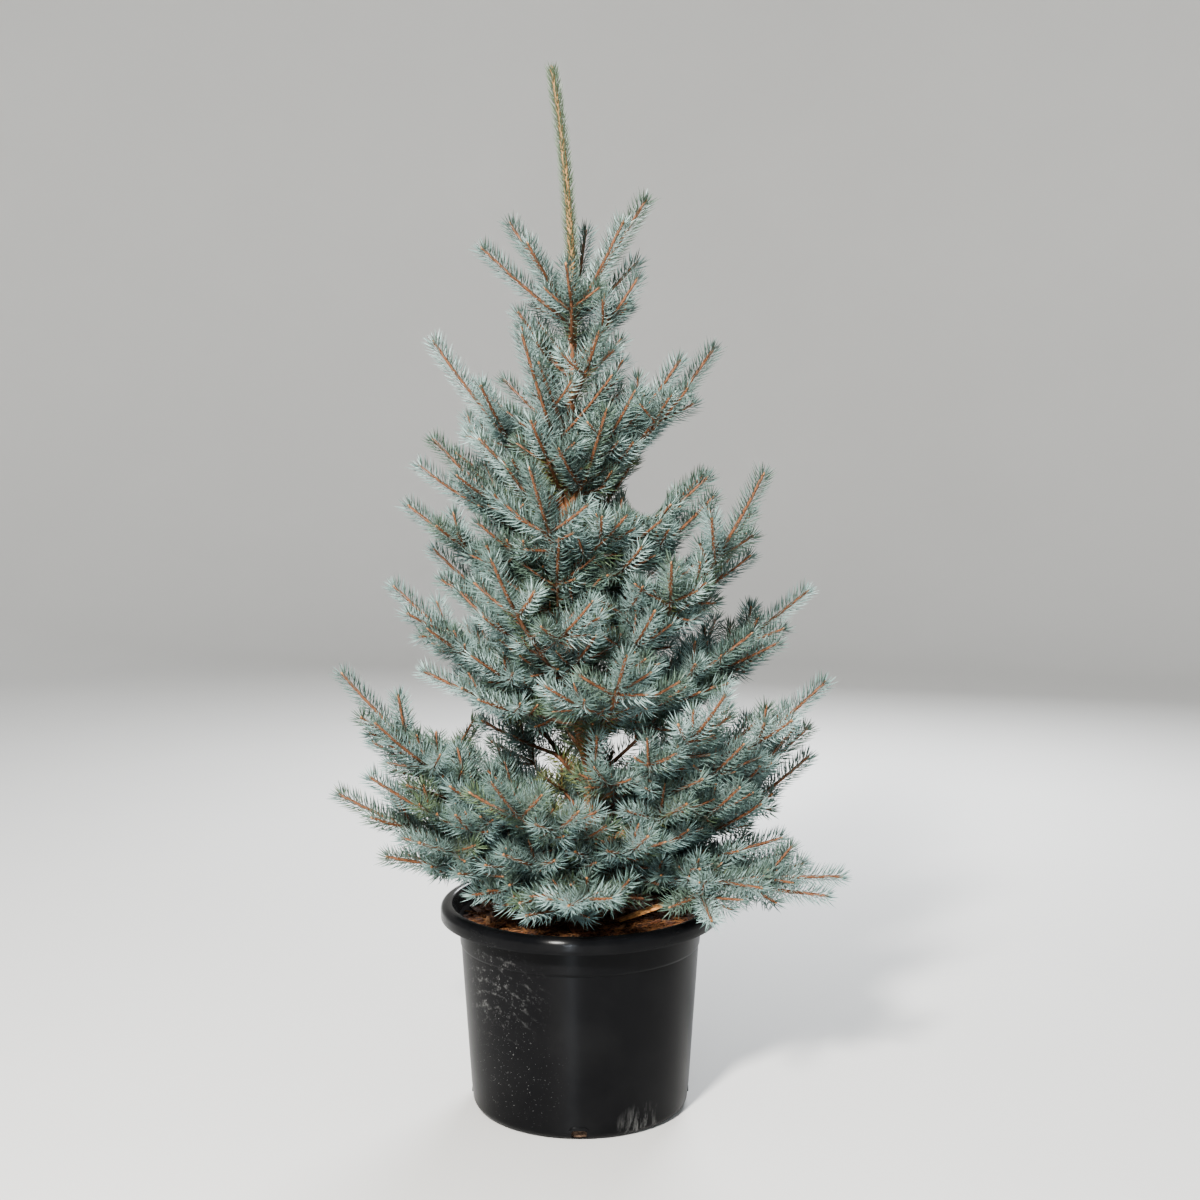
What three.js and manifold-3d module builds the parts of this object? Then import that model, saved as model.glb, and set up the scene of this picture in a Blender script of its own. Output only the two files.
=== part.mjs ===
// A young blue spruce in a black nursery pot, in millimetres, +Z up.
// The origin is the centre of the pot's flat underside. +X is to the right of the front view,
// -Y is toward the front. The tree is one trunk in whorls of boughs, each bough carrying a mass
// of needled twigs that branch by one seeded rule.

import * as THREE from "three";
import { mergeVertices } from "three/addons/utils/BufferGeometryUtils.js";
import Module from "manifold-3d";

// Sizes of the pot
const POT_HEIGHT = 365;
const FOOT_RADIUS = 192;
const NECK_RADIUS = 214;
const NECK_HEIGHT = 340;
const LIP_RADIUS = 245;
const LIP_DEPTH = 27;
const MOUTH_RADIUS = 224;
const WALL = 3.2;
const FLOOR = 4;
const FOOT_ROUNDING = 16;
const STEP_HEIGHT = 291;
const STEP_DEPTH = 1.6;
const POT_SEGMENTS = 40;
const STEP_SLOPE = 3;
const LIP_HOLLOW = 4;
const LIP_ROUNDING = { outer: [1, 14], middle: [5, 4], inner: [13, 0] };
const INSIDE_CORNER = 2;
const DRAIN = { count: 4, width: 26, height: 15, bottom: 3, depth: 60 };

// Sizes of the soil
const SOIL_TOP = 335;
const SOIL_RINGS = [40, 80, 120, 165];
const SOIL_BUMP = 9;
const SOIL_EDGE_DROP = 6;

// The gap kept between two separate solids that touch on the real plant
const GAP = 0.3;

// The trunk leans a little: height, sideways and backward offset of its centre
const TRUNK = [
  [335, 22, 0],
  [560, 19, 4],
  [720, -4, 6],
  [890, -32, 4],
  [1060, -26, 0],
  [1220, -14, 0],
  [1400, -11, 0],
];
const TRUNK_FOOT_RADIUS = 13.5;
const TRUNK_TOP_RADIUS = 7.4;
const ROOT_FLARE = 8;
const ROOT_FLARE_HEIGHT = 26;
const TRUNK_SIDES = 9;
const TRUNK_STEP = 71;
const TRUNK_STEP_GROWTH = 1.25;

// The leader is last year's growth of the trunk
const LEADER = { bend: [-14, 0, 1600], tip: [-45, 0, 1785], foot: 6.8, top: 2.6, sides: 4, reach: 17 };

// Boughs by whorl: height on the trunk, azimuth, rise at the trunk, bend up with each length,
// bare limb, length of the first year's shoot past it, years of growth past it
const BOUGHS = [
  ["c1", 1085, 186, 38, 15, 140, 195, 1],
  ["c2", 1110, 244, 52, 12, 80, 190, 1],
  ["c3", 1067, 356, 31, 21, 165, 200, 1],
  ["c4", 1040, 310, 46, 12, 85, 140, 1],
  ["c5", 1108, 96, 42, 12, 110, 170, 1],
  ["c6", 985, 172, 30, 12, 130, 160, 1],
  ["d1", 905, 190, 20, 8, 100, 96, 2],
  ["d2", 893, 6, 52, -10, 150, 135, 1],
  ["d3", 900, 268, 30, 12, 90, 115, 2],
  ["d4", 943, 128, 34, 10, 110, 125, 2],
  ["d5", 925, 60, 36, 12, 100, 115, 2],
  ["e1", 690, 176, 24, 6, 100, 88, 3],
  ["e2", 730, 246, 24, 12, 90, 86, 3],
  ["e3", 720, 338, 32, 13, 120, 120, 3],
  ["e4", 745, 84, 28, 9, 100, 92, 3],
  ["e5", 660, 292, 14, 9, 90, 80, 3],
  ["e6", 800, 158, 26, 6, 100, 100, 2],
  ["e7", 770, 12, 24, 8, 95, 110, 2],
  ["f1", 468, 180, 12, 12, 120, 124, 3],
  ["f2", 465, 244, 8, 10, 90, 89, 3],
  ["f3", 540, 312, 18, 10, 95, 90, 3],
  ["f4", 640, 18, 25, 4, 115, 110, 3],
  ["f5", 570, 128, 20, 9, 105, 99, 3],
  ["f6", 434, 200, 9, 8, 110, 96, 3],
  ["f7", 420, 8, 18, 9, 110, 102, 3],
  ["g1", 408, 190, 8, 6, 115, 104, 3],
  ["g2", 396, 266, 6, 1, 85, 67, 3],
  ["g3", 455, 348, 27, 6, 115, 116, 3],
  ["g4", 406, 342, 3, 0, 105, 98, 3],
  ["g5", 440, 66, 12, 8, 105, 96, 3],
  ["g6", 438, 292, 10, 8, 90, 80, 2],
  ["g7", 416, 234, 9, 6, 90, 84, 2],
];

// Shoots that stand straight on the trunk: height, azimuth, rise, bend up, length
const TRUNK_SHOOTS = [
  ["a1", 1378, 170, 55, 2, 190],
  ["a2", 1364, 198, 34, 12, 200],
  ["a3", 1380, 236, 36, 14, 170],
  ["a4", 1372, 76, 58, 12, 180],
  ["a5", 1382, 358, 56, 4, 225],
  ["a6", 1370, 316, 52, 6, 195],
  ["a7", 1366, 30, 36, 12, 165],
  ["b1", 1270, 184, 50, 6, 145],
  ["b2", 1300, 134, 36, 10, 110],
  ["b3", 1310, 14, 38, 8, 130],
  ["b4", 1252, 334, 40, 8, 125],
];

// Growth: how a fan of shoots opens at the end of each length. Twigs past the finest level
// here lie within the same reach and are too fine for these solids.
const FINEST_LEVEL = 2;
const SHORTEST_TWIG = 40;
const YEARLY_GAIN = 1.12;
const SEED = 101;
const FAN_SPREAD = 50;
const FAN_SPREAD_PLAY = 14;
const AXIS_PLAY = 16;
const SIDE_LENGTH = 0.78;
const SIDE_LENGTH_PLAY = 0.3;
const SIDE_CLIMB = 2.4;
const SIDE_CLIMB_PLAY = 12;
const SIDE_SETBACKS = [12, 19];
const SIDE_YEARS = 1;
const LAST_BRANCHING_LEVEL = 1;
const TOP_SHOOT_CHANCE = 0.6;
const TOP_SHOOT_LENGTH = 0.5;
const TOP_SHOOT_LENGTH_PLAY = 0.4;
const TOP_CLIMB = 43;
const TOP_CLIMB_PLAY = 14;
const TOP_TURN_PLAY = 30;
const TOP_SETBACK = 5;

// Twigs: a slim three-sided core with needles that stand out of each side
const TWIG_SIDES = 3;
const CORE_RADIUS = 7;
const TWIG_TIP_RADIUS = 4;
const SHOOT_FOOT = 0.6;
const BUD_LENGTH = 16;
const BUD_SLICES = [0.3, 0.6, 1];
const FORK_CLEARANCE = 28;
const ROOT_ROOM = 7;
const FACE_TOWARD = 0.45;
const NEEDLE_SLICES = [0.15, 0.4, 0.65, 0.85, 1];
const NEEDLE_REACH = 27;
const NEEDLE_LEAN = 14;
const NEEDLE_STEP = 36;
const MAIN_LIMB = 100;
const LIMB_SIDES = 6;
const LIMB_STEP = 70;
const LIMB_FOOT_RADIUS = 7;
const LIMB_TIP_RADIUS = 4.2;
const STEM_INSIDE_MASS = 30;

const COLOURS = {
  pot: 0x16171a,
  soil: 0x4a2c20,
  bark: 0x8a6242,
  leader: 0x9aa08c,
  needles: 0x7d9a99,
};

const wasm = await Module();
wasm.setup();

const UP = new THREE.Vector3(0, 0, 1);
const ALONG_X = new THREE.Vector3(1, 0, 0);

// A repeatable random draw between 0 and 1
function seededDraw(seed) {
  let state = seed >>> 0;
  return function draw() {
    state = (state + 0x6d2b79f5) >>> 0;
    let mixed = Math.imul(state ^ (state >>> 15), state | 1);
    mixed ^= mixed + Math.imul(mixed ^ (mixed >>> 7), mixed | 61);
    return ((mixed ^ (mixed >>> 14)) >>> 0) / 4294967296;
  };
}

// Geometry to solid and back
function toSolid(geometry) {
  const bare = geometry.clone();
  bare.deleteAttribute("normal");
  bare.deleteAttribute("uv");
  const merged = mergeVertices(bare, 1e-3);
  return new wasm.Manifold(
    new wasm.Mesh({
      numProp: 3,
      vertProperties: new Float32Array(merged.attributes.position.array),
      triVerts: new Uint32Array(merged.index.array),
    }),
  );
}

function toGeometry(solid) {
  const mesh = solid.getMesh();
  const geometry = new THREE.BufferGeometry();
  geometry.setAttribute("position", new THREE.BufferAttribute(mesh.vertProperties, 3));
  geometry.setIndex(new THREE.BufferAttribute(mesh.triVerts, 1));
  return geometry;
}

function named(name, geometry, colour, roughness, place = new THREE.Vector3()) {
  geometry.translate(-place.x, -place.y, -place.z);
  geometry.computeVertexNormals();
  const material = new THREE.MeshStandardMaterial({ color: colour, roughness, metalness: 0 });
  const mesh = new THREE.Mesh(geometry, material);
  mesh.name = name;
  mesh.position.copy(place);
  return mesh;
}

// The pot: a turned shell with a hollow rolled lip, a moulded step and drain slots
function wallRadius(height) {
  const taper = (NECK_RADIUS - FOOT_RADIUS) / NECK_HEIGHT;
  const step = height > STEP_HEIGHT ? 0 : STEP_DEPTH;
  return FOOT_RADIUS + taper * height - step;
}

// Radius of the pot's inside where it meets the floor
const INSIDE_FOOT = FOOT_RADIUS - WALL - STEP_DEPTH - INSIDE_CORNER;

function potProfile() {
  const lipBottom = POT_HEIGHT - LIP_DEPTH;
  const skirtInside = LIP_RADIUS - WALL;
  const hollowTop = POT_HEIGHT - WALL - INSIDE_CORNER;
  const { outer, middle, inner } = LIP_ROUNDING;
  const corner = FOOT_ROUNDING * (1 - Math.SQRT1_2);
  const points = [
    [0, 0],
    [FOOT_RADIUS - FOOT_ROUNDING, 0],
    [FOOT_RADIUS - corner, corner],
    [wallRadius(FOOT_ROUNDING), FOOT_ROUNDING],
    [wallRadius(STEP_HEIGHT), STEP_HEIGHT],
    [wallRadius(STEP_HEIGHT + STEP_SLOPE), STEP_HEIGHT + STEP_SLOPE],
    [NECK_RADIUS, NECK_HEIGHT],
    [MOUTH_RADIUS + INSIDE_CORNER, hollowTop],
    [skirtInside - LIP_HOLLOW, hollowTop],
    [skirtInside, hollowTop - 2 * LIP_HOLLOW],
    [skirtInside, lipBottom],
    [LIP_RADIUS - outer[0], lipBottom],
    [LIP_RADIUS, POT_HEIGHT - outer[1]],
    [LIP_RADIUS - middle[0], POT_HEIGHT - middle[1]],
    [LIP_RADIUS - inner[0], POT_HEIGHT - inner[1]],
    [MOUTH_RADIUS + INSIDE_CORNER, POT_HEIGHT],
    [NECK_RADIUS - WALL, NECK_HEIGHT],
    [INSIDE_FOOT, FLOOR],
    [0, FLOOR],
  ];
  return points.map(([radius, height]) => new THREE.Vector2(radius, height));
}

function turnedSolid(profile) {
  const geometry = new THREE.LatheGeometry(profile, POT_SEGMENTS);
  geometry.rotateX(Math.PI / 2);
  geometry.rotateZ(Math.PI / POT_SEGMENTS);
  return geometry;
}

function makePot() {
  let pot = toSolid(turnedSolid(potProfile()));
  for (let i = 0; i < DRAIN.count; i += 1) {
    const slot = new THREE.BoxGeometry(DRAIN.depth, DRAIN.width, DRAIN.height);
    slot.translate(FOOT_RADIUS, 0, DRAIN.bottom + DRAIN.height / 2);
    slot.rotateZ((i / DRAIN.count) * 2 * Math.PI - Math.PI / 2);
    pot = pot.subtract(toSolid(slot));
  }
  return named("pot", toGeometry(pot), COLOURS.pot, 0.45);
}

// The soil fills the pot to just under the lip and is uneven on top, flat where the trunk stands
function makeSoil() {
  const slope = (NECK_RADIUS - WALL - INSIDE_FOOT) / (NECK_HEIGHT - FLOOR);
  const foot = INSIDE_FOOT - 2 * GAP;
  const edgeHeight = SOIL_TOP - SOIL_EDGE_DROP;
  const edgeRadius = foot + slope * (edgeHeight - FLOOR);
  const profile = [[0, FLOOR + GAP], [foot, FLOOR + GAP], [edgeRadius, edgeHeight]];
  for (const radius of [...SOIL_RINGS].reverse()) profile.push([radius, SOIL_TOP]);
  profile.push([0, SOIL_TOP]);
  const geometry = turnedSolid(profile.map(([radius, height]) => new THREE.Vector2(radius, height)));
  const shaped = toGeometry(toSolid(geometry));
  const draw = seededDraw(SEED);
  const places = shaped.attributes.position;
  for (let i = 0; i < places.count; i += 1) {
    const radius = Math.hypot(places.getX(i), places.getY(i));
    const drop = SOIL_BUMP * draw();
    const onTop = places.getZ(i) > SOIL_TOP - 1;
    if (onTop && radius > SOIL_RINGS[0] + 1) places.setZ(i, SOIL_TOP - drop);
  }
  return named("soil", shaped, COLOURS.soil, 0.95);
}

// Centre and radius of the trunk at a height
function trunkAt(height) {
  let [low, high] = [TRUNK[0], TRUNK[1]];
  for (let i = 1; i < TRUNK.length - 1 && height > TRUNK[i][0]; i += 1) {
    [low, high] = [TRUNK[i], TRUNK[i + 1]];
  }
  const share = (height - low[0]) / (high[0] - low[0]);
  const eased = share * share * (3 - 2 * share);
  const x = low[1] + (high[1] - low[1]) * eased;
  const y = low[2] + (high[2] - low[2]) * eased;
  return new THREE.Vector3(x, y, height);
}

const TRUNK_BOTTOM = TRUNK[0][0] + GAP;
const TRUNK_TOP = TRUNK[TRUNK.length - 1][0];

function trunkRadius(height) {
  const share = (height - TRUNK_BOTTOM) / (TRUNK_TOP - TRUNK_BOTTOM);
  const flare = ROOT_FLARE * Math.exp(-(height - TRUNK_BOTTOM) / ROOT_FLARE_HEIGHT);
  return THREE.MathUtils.lerp(TRUNK_FOOT_RADIUS, TRUNK_TOP_RADIUS, share) + flare;
}

// A cylinder bent along a path: centreAt, wayAt and radiusAt take a share of the length
function bentLimb(centreAt, wayAt, radiusAt, sides, steps) {
  const geometry = new THREE.CylinderGeometry(1, 1, 1, sides, steps);
  geometry.rotateX(Math.PI / 2);
  const places = geometry.attributes.position;
  for (let i = 0; i < places.count; i += 1) {
    const share = places.getZ(i) + 0.5;
    const frame = frameFor(wayAt(share), wayAt(0));
    const radius = radiusAt(share);
    const point = centreAt(share)
      .clone()
      .addScaledVector(frame.side, radius * places.getX(i))
      .addScaledVector(frame.over, -radius * places.getY(i));
    places.setXYZ(i, point.x, point.y, point.z);
  }
  return geometry;
}

// Side and over directions square to a way, kept steady along one limb by its first way
function frameFor(way, firstWay) {
  const steep = Math.abs(firstWay.z) > 0.97;
  const side = new THREE.Vector3().crossVectors(way, steep ? ALONG_X : UP).normalize();
  const over = new THREE.Vector3().crossVectors(side, way).normalize();
  return { side, over };
}

function trunkSolid(growth) {
  const span = TRUNK_TOP - TRUNK_BOTTOM;
  const heightAt = (share) => TRUNK_BOTTOM + span * Math.pow(share, TRUNK_STEP_GROWTH);
  const centreAt = (share) => trunkAt(heightAt(share));
  const radiusAt = (share) => trunkRadius(heightAt(share)) + growth;
  const steps = Math.round(span / TRUNK_STEP);
  return toSolid(bentLimb(centreAt, () => UP, radiusAt, TRUNK_SIDES, steps));
}

// The growth rule
function headingFor(azimuth, rise) {
  const turn = THREE.MathUtils.degToRad(azimuth);
  const climb = THREE.MathUtils.degToRad(rise);
  return new THREE.Vector3(
    Math.cos(climb) * Math.cos(turn),
    Math.cos(climb) * Math.sin(turn),
    Math.sin(climb),
  );
}

function turned(way, sideways, upwards) {
  const side = new THREE.Vector3().crossVectors(way, UP).normalize();
  const over = new THREE.Vector3().crossVectors(side, way);
  const a = THREE.MathUtils.degToRad(sideways);
  const b = THREE.MathUtils.degToRad(upwards);
  return way
    .clone()
    .multiplyScalar(Math.cos(a) * Math.cos(b))
    .addScaledVector(side, Math.sin(a) * Math.cos(b))
    .addScaledVector(over, Math.sin(b))
    .normalize();
}

// One year's length of twig, straight for half of it and then bent up
function makeShoot(start, way, lift, length, years, level) {
  const middle = start.clone().addScaledVector(way, length / 2);
  const endWay = way.clone().addScaledVector(UP, Math.sin(THREE.MathUtils.degToRad(lift))).normalize();
  const end = middle.clone().addScaledVector(endWay, length / 2);
  const curve = new THREE.QuadraticBezierCurve3(start, middle, end);
  return { start, end, way, endWay, length, years, level, curve };
}

// The fan at a shoot's end: the axis goes on, a shoot opens to each side just behind its end,
// and now and then one stands up on top
function growFan(shoots, parent, lift, length, years, draw, level) {
  const grow = (heading, bend, reach, yearsLeft, depth, setback) => {
    const foot = parent.end.clone().addScaledVector(parent.endWay, -setback);
    const shoot = makeShoot(foot, heading, bend, reach, yearsLeft, depth);
    shoot.parent = parent;
    shoot.goesOn = setback === 0;
    shoots.push(shoot);
    if (yearsLeft > 0) growFan(shoots, shoot, bend, reach * YEARLY_GAIN, yearsLeft, draw, depth);
  };
  const way = parent.endWay;
  const play = (range) => range * (draw() - 0.5);
  grow(turned(way, play(AXIS_PLAY), 0), lift, length, years - 1, level, 0);
  for (const [index, side] of [-1, 1].entries()) {
    const spread = FAN_SPREAD + play(FAN_SPREAD_PLAY);
    const heading = turned(way, side * spread, SIDE_CLIMB + play(SIDE_CLIMB_PLAY));
    const reach = length * SIDE_LENGTH * (1 + play(SIDE_LENGTH_PLAY));
    const sideYears = level > LAST_BRANCHING_LEVEL ? 0 : Math.min(years - 1, SIDE_YEARS);
    grow(heading, lift, reach, sideYears, level + 1, SIDE_SETBACKS[index]);
  }
  if (draw() < TOP_SHOOT_CHANCE) {
    const climb = TOP_CLIMB + play(TOP_CLIMB_PLAY);
    const heading = turned(way, play(TOP_TURN_PLAY), climb);
    const reach = length * TOP_SHOOT_LENGTH * (1 + play(TOP_SHOOT_LENGTH_PLAY));
    grow(heading, 0, reach, 0, level + 1, TOP_SETBACK);
  }
}

function planBough([name, height, azimuth, rise, lift, limb, length, years], index) {
  const draw = seededDraw(SEED + index);
  const bough = makeShoot(trunkAt(height), headingFor(azimuth, rise), lift, limb, years + 1, 0);
  bough.name = name;
  bough.height = height;
  bough.shoots = [];
  growFan(bough.shoots, bough, lift, length, years, draw, 0);
  return bough;
}

function planTrunkShoot([name, height, azimuth, rise, lift, length]) {
  const shoot = makeShoot(trunkAt(height), headingFor(azimuth, rise), lift, length, 0, 0);
  shoot.name = name;
  shoot.height = height;
  return shoot;
}

// Space: balls that stand for the solids, so that every node keeps to its own room
const CELL = 40;
const BALL_STEP = 6;
const SKIN = 0.7;
const DROOP_BELOW_LIP = 60;
const cells = new Map();

function cellKeys(ball) {
  const keys = [];
  const low = ["x", "y", "z"].map((axis) => Math.floor((ball.centre[axis] - ball.radius) / CELL));
  const high = ["x", "y", "z"].map((axis) => Math.floor((ball.centre[axis] + ball.radius) / CELL));
  for (let i = low[0]; i <= high[0]; i += 1) {
    for (let j = low[1]; j <= high[1]; j += 1) {
      for (let k = low[2]; k <= high[2]; k += 1) keys.push(`${i},${j},${k}`);
    }
  }
  return keys;
}

function clearOfPot(ball) {
  const across = Math.hypot(ball.centre.x, ball.centre.y) - ball.radius;
  const below = ball.centre.z - ball.radius;
  if (below > POT_HEIGHT + GAP) return true;
  return across > LIP_RADIUS + 1 && below > POT_HEIGHT - DROOP_BELOW_LIP;
}

function roomFor(balls, isOwn) {
  return balls.every((ball) => {
    if (!clearOfPot(ball)) return false;
    return cellKeys(ball).every((key) =>
      (cells.get(key) ?? []).every((other) => {
        if (isOwn(other)) return true;
        return other.centre.distanceTo(ball.centre) > other.radius + ball.radius + GAP;
      }),
    );
  });
}

function takeRoom(balls, owner, twig = null) {
  for (const ball of balls) {
    for (const key of cellKeys(ball)) {
      if (!cells.has(key)) cells.set(key, []);
      cells.get(key).push({ ...ball, owner, twig });
    }
  }
}

function ballsAlong(curve, radiusAt, from = 0, to = 1) {
  const count = Math.max(2, Math.ceil((curve.getLength() * (to - from)) / BALL_STEP));
  const balls = [];
  for (let i = 0; i <= count; i += 1) {
    const share = from + ((to - from) * i) / count;
    balls.push({ centre: curve.getPoint(share), radius: radiusAt(share) });
  }
  return balls;
}

// Balls over the bud past a shoot's end
function budBalls(shoot) {
  return BUD_SLICES.map((share) => ({
    centre: shoot.end.clone().addScaledVector(shoot.endWay, share * BUD_LENGTH),
    radius: TWIG_TIP_RADIUS * (1 - share) + 1,
  }));
}

// A needled twig runs on from year to year: rings of a slim three-sided core, with a needle or a
// side twig out of each face between two rings
function ringsAlong(shoot, firstWay, from, firstStep) {
  const { radiusAt = coreRadius } = shoot;
  const steps = Math.max(1, Math.round((shoot.length * (1 - from)) / NEEDLE_STEP));
  const rings = [];
  for (let i = firstStep; i <= steps; i += 1) {
    const share = from + ((1 - from) * i) / steps;
    const way = shoot.curve.getTangent(share);
    const radius = radiusAt(share, shoot);
    const bare = shoot.years > 2;
    rings.push({ centre: shoot.curve.getPoint(share), way, radius, bare, ...frameFor(way, firstWay) });
  }
  return rings;
}

function ringPoint(ring, angle, radius) {
  return ring.centre
    .clone()
    .addScaledVector(ring.over, radius * Math.cos(angle))
    .addScaledVector(ring.side, radius * Math.sin(angle));
}

function coreRadius(share, shoot) {
  const tip = shoot.years > 0 ? CORE_RADIUS : TWIG_TIP_RADIUS;
  return THREE.MathUtils.lerp(CORE_RADIUS, tip, share);
}

function planTwig(shoot, owner, from, { sides = TWIG_SIDES, reach = NEEDLE_REACH } = {}) {
  const rings = ringsAlong(shoot, shoot.way, from, 0);
  return { owner, sides, reach, way: shoot.way, rings, needles: new Map(), sideTwigs: new Map() };
}

// The next year's shoot carries the twig on from its last ring
function carryOn(twig, shoot) {
  twig.rings.push(...ringsAlong(shoot, twig.way, 0, 1));
}

// Each face looks out at an angle round the twig; the first face is on top
function faceAngle(twig, side) {
  return (side / twig.sides) * 2 * Math.PI;
}

function cornerAngle(twig, side) {
  return faceAngle(twig, side - 0.5);
}

function outwardAt(twig, ring, side) {
  return ringPoint(twig.rings[ring], faceAngle(twig, side), 1).sub(twig.rings[ring].centre);
}

// The free face between two rings that looks most nearly along a way
function faceToward(twig, ring, way) {
  let best = null;
  for (let side = 0; side < twig.sides; side += 1) {
    const key = `${ring},${side}`;
    const toward = outwardAt(twig, ring, side).dot(way);
    if (!twig.sideTwigs.has(key) && (!best || toward > best.toward)) best = { key, toward };
  }
  return best && best.toward > FACE_TOWARD ? best.key : null;
}

function needleAt(twig, ring, side) {
  const near = twig.rings[ring];
  const far = twig.rings[ring + 1];
  const angle = faceAngle(twig, side);
  const root = ringPoint(near, angle, near.radius / 2).lerp(ringPoint(far, angle, far.radius / 2), 0.5);
  const apex = near.centre.clone().lerp(far.centre, 0.5);
  apex.addScaledVector(outwardAt(twig, ring, side), twig.reach).addScaledVector(near.way, NEEDLE_LEAN);
  return { root, apex };
}

// Balls that fill one needle: a row along its foot, fewer and smaller toward its point
function needleBalls(twig, ring, { root, apex }) {
  const near = twig.rings[ring];
  const along = twig.rings[ring + 1].centre.clone().sub(near.centre);
  const balls = [];
  for (const share of NEEDLE_SLICES) {
    const centre = root.clone().lerp(apex, share);
    const width = (1 - share) * near.radius + 1;
    const half = ((1 - share) * along.length()) / 2;
    const count = Math.max(1, Math.ceil(half / width));
    for (let i = 0; i < count; i += 1) {
      const offset = count > 1 ? (i / (count - 1) - 0.5) * 2 * (half - width) : 0;
      const place = centre.clone().addScaledVector(along, offset / along.length());
      balls.push({ centre: place, radius: width });
    }
  }
  return balls;
}

function fitNeedles(twig) {
  for (let ring = 0; ring < twig.rings.length - 1; ring += 1) {
    if (twig.rings[ring].bare) continue;
    for (let side = 0; side < twig.sides; side += 1) {
      if (twig.sideTwigs.has(`${ring},${side}`)) continue;
      const needle = needleAt(twig, ring, side);
      const balls = needleBalls(twig, ring, needle);
      if (!roomFor(balls, (other) => other.twig === twig)) continue;
      takeRoom(balls, twig.owner, twig);
      twig.needles.set(`${ring},${side}`, needle.apex);
    }
  }
}

// One closed skin over a twig and all the side twigs it carries
function twigSolid(stem) {
  const places = [];
  const triangles = [];
  const add = (point) => places.push(point) - 1;
  const skinRun = (twig) => {
    const corners = twig.rings.map((ring) => {
      const sides = Array.from({ length: twig.sides }, (_, side) => side);
      return sides.map((side) => add(ringPoint(ring, cornerAngle(twig, side), ring.radius)));
    });
    for (let ring = 0; ring < corners.length - 1; ring += 1) {
      for (let side = 0; side < twig.sides; side += 1) {
        const next = (side + 1) % twig.sides;
        const face = [corners[ring][side], corners[ring][next]];
        face.push(corners[ring + 1][next], corners[ring + 1][side]);
        const key = `${ring},${side}`;
        if (twig.sideTwigs.has(key)) joinRing(face, skinRun(twig.sideTwigs.get(key)));
        else if (twig.needles.has(key)) coverFace(face, add(twig.needles.get(key)));
        else triangles.push(face[0], face[1], face[2], face[0], face[2], face[3]);
      }
    }
    const last = twig.rings[twig.rings.length - 1];
    const tip = add(last.centre.clone().addScaledVector(last.way, BUD_LENGTH));
    const end = corners[corners.length - 1];
    end.forEach((corner, side) => triangles.push(corner, end[(side + 1) % twig.sides], tip));
    return corners[0];
  };
  const coverFace = (face, apex) => {
    face.forEach((corner, side) => triangles.push(corner, face[(side + 1) % face.length], apex));
  };
  // A side twig's first ring joins the four corners of the face it grows from, by the shortest
  // of the ways to match them
  const joinRing = (face, ring) => {
    let best = { length: Infinity };
    for (let turn = 0; turn < 4; turn += 1) {
      const [a, b, c, d] = [0, 1, 2, 3].map((corner) => face[(corner + turn) % 4]);
      for (let shift = 0; shift < 3; shift += 1) {
        const [u, v, w] = [0, 1, 2].map((corner) => ring[(corner + shift) % 3]);
        const edges = [[a, u], [b, u], [b, v], [c, v], [c, w], [d, w], [d, u]];
        const length = edges.reduce((sum, [from, to]) => sum + places[from].distanceTo(places[to]), 0);
        const skin = [a, b, u, b, c, v, b, v, u, c, d, w, c, w, v, d, a, u, d, u, w];
        if (length < best.length) best = { length, skin };
      }
    }
    triangles.push(...best.skin);
  };
  const foot = skinRun(stem);
  for (let side = 2; side < stem.sides; side += 1) triangles.push(foot[0], foot[side], foot[side - 1]);
  const geometry = new THREE.BufferGeometry();
  const flat = places.flatMap((place) => place.toArray());
  geometry.setAttribute("position", new THREE.Float32BufferAttribute(flat, 3));
  geometry.setIndex(triangles);
  return toSolid(geometry);
}

// Assembly
const tree = new THREE.Group();
tree.add(makePot(), makeSoil());

const trunk = trunkSolid(0);
const trunkRoom = trunkSolid(GAP);
tree.add(named("trunk", toGeometry(trunk), COLOURS.bark, 0.9, trunkAt(TRUNK_BOTTOM)));
for (let height = TRUNK_BOTTOM; height <= TRUNK_TOP; height += BALL_STEP) {
  takeRoom([{ centre: trunkAt(height), radius: trunkRadius(height) + 1 }], "trunk");
}

const boughs = BOUGHS.map(planBough);
const trunkShoots = TRUNK_SHOOTS.map(planTrunkShoot);
const limbRadius = (share) => THREE.MathUtils.lerp(LIMB_FOOT_RADIUS, LIMB_TIP_RADIUS, share);

// Each mass starts with the stem that its bough hands on. A bough of few years' growth is light, and
// its limb is the stem of its mass. Limbs take their room first, so that every twig keeps off them.
// A shoot's place is the twig that carries it and that twig's last length before the shoot's end.
const stems = [];
const placeOf = new Map();
for (const bough of boughs) {
  bough.isMain = bough.years > 3 && bough.length >= MAIN_LIMB;
  bough.limbEnd = 1 - STEM_INSIDE_MASS / bough.length;
  bough.radiusAt = limbRadius;
  const from = bough.isMain ? bough.limbEnd + GAP / bough.length : 0;
  const stem = planTwig(bough, `mass_${bough.name}`, from);
  takeRoom(ballsAlong(bough.curve, (share) => limbRadius(share) + SKIN), stem.owner, stem);
  placeOf.set(bough, { twig: stem, ring: stem.rings.length - 2 });
  stems.push(stem);
}

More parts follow.
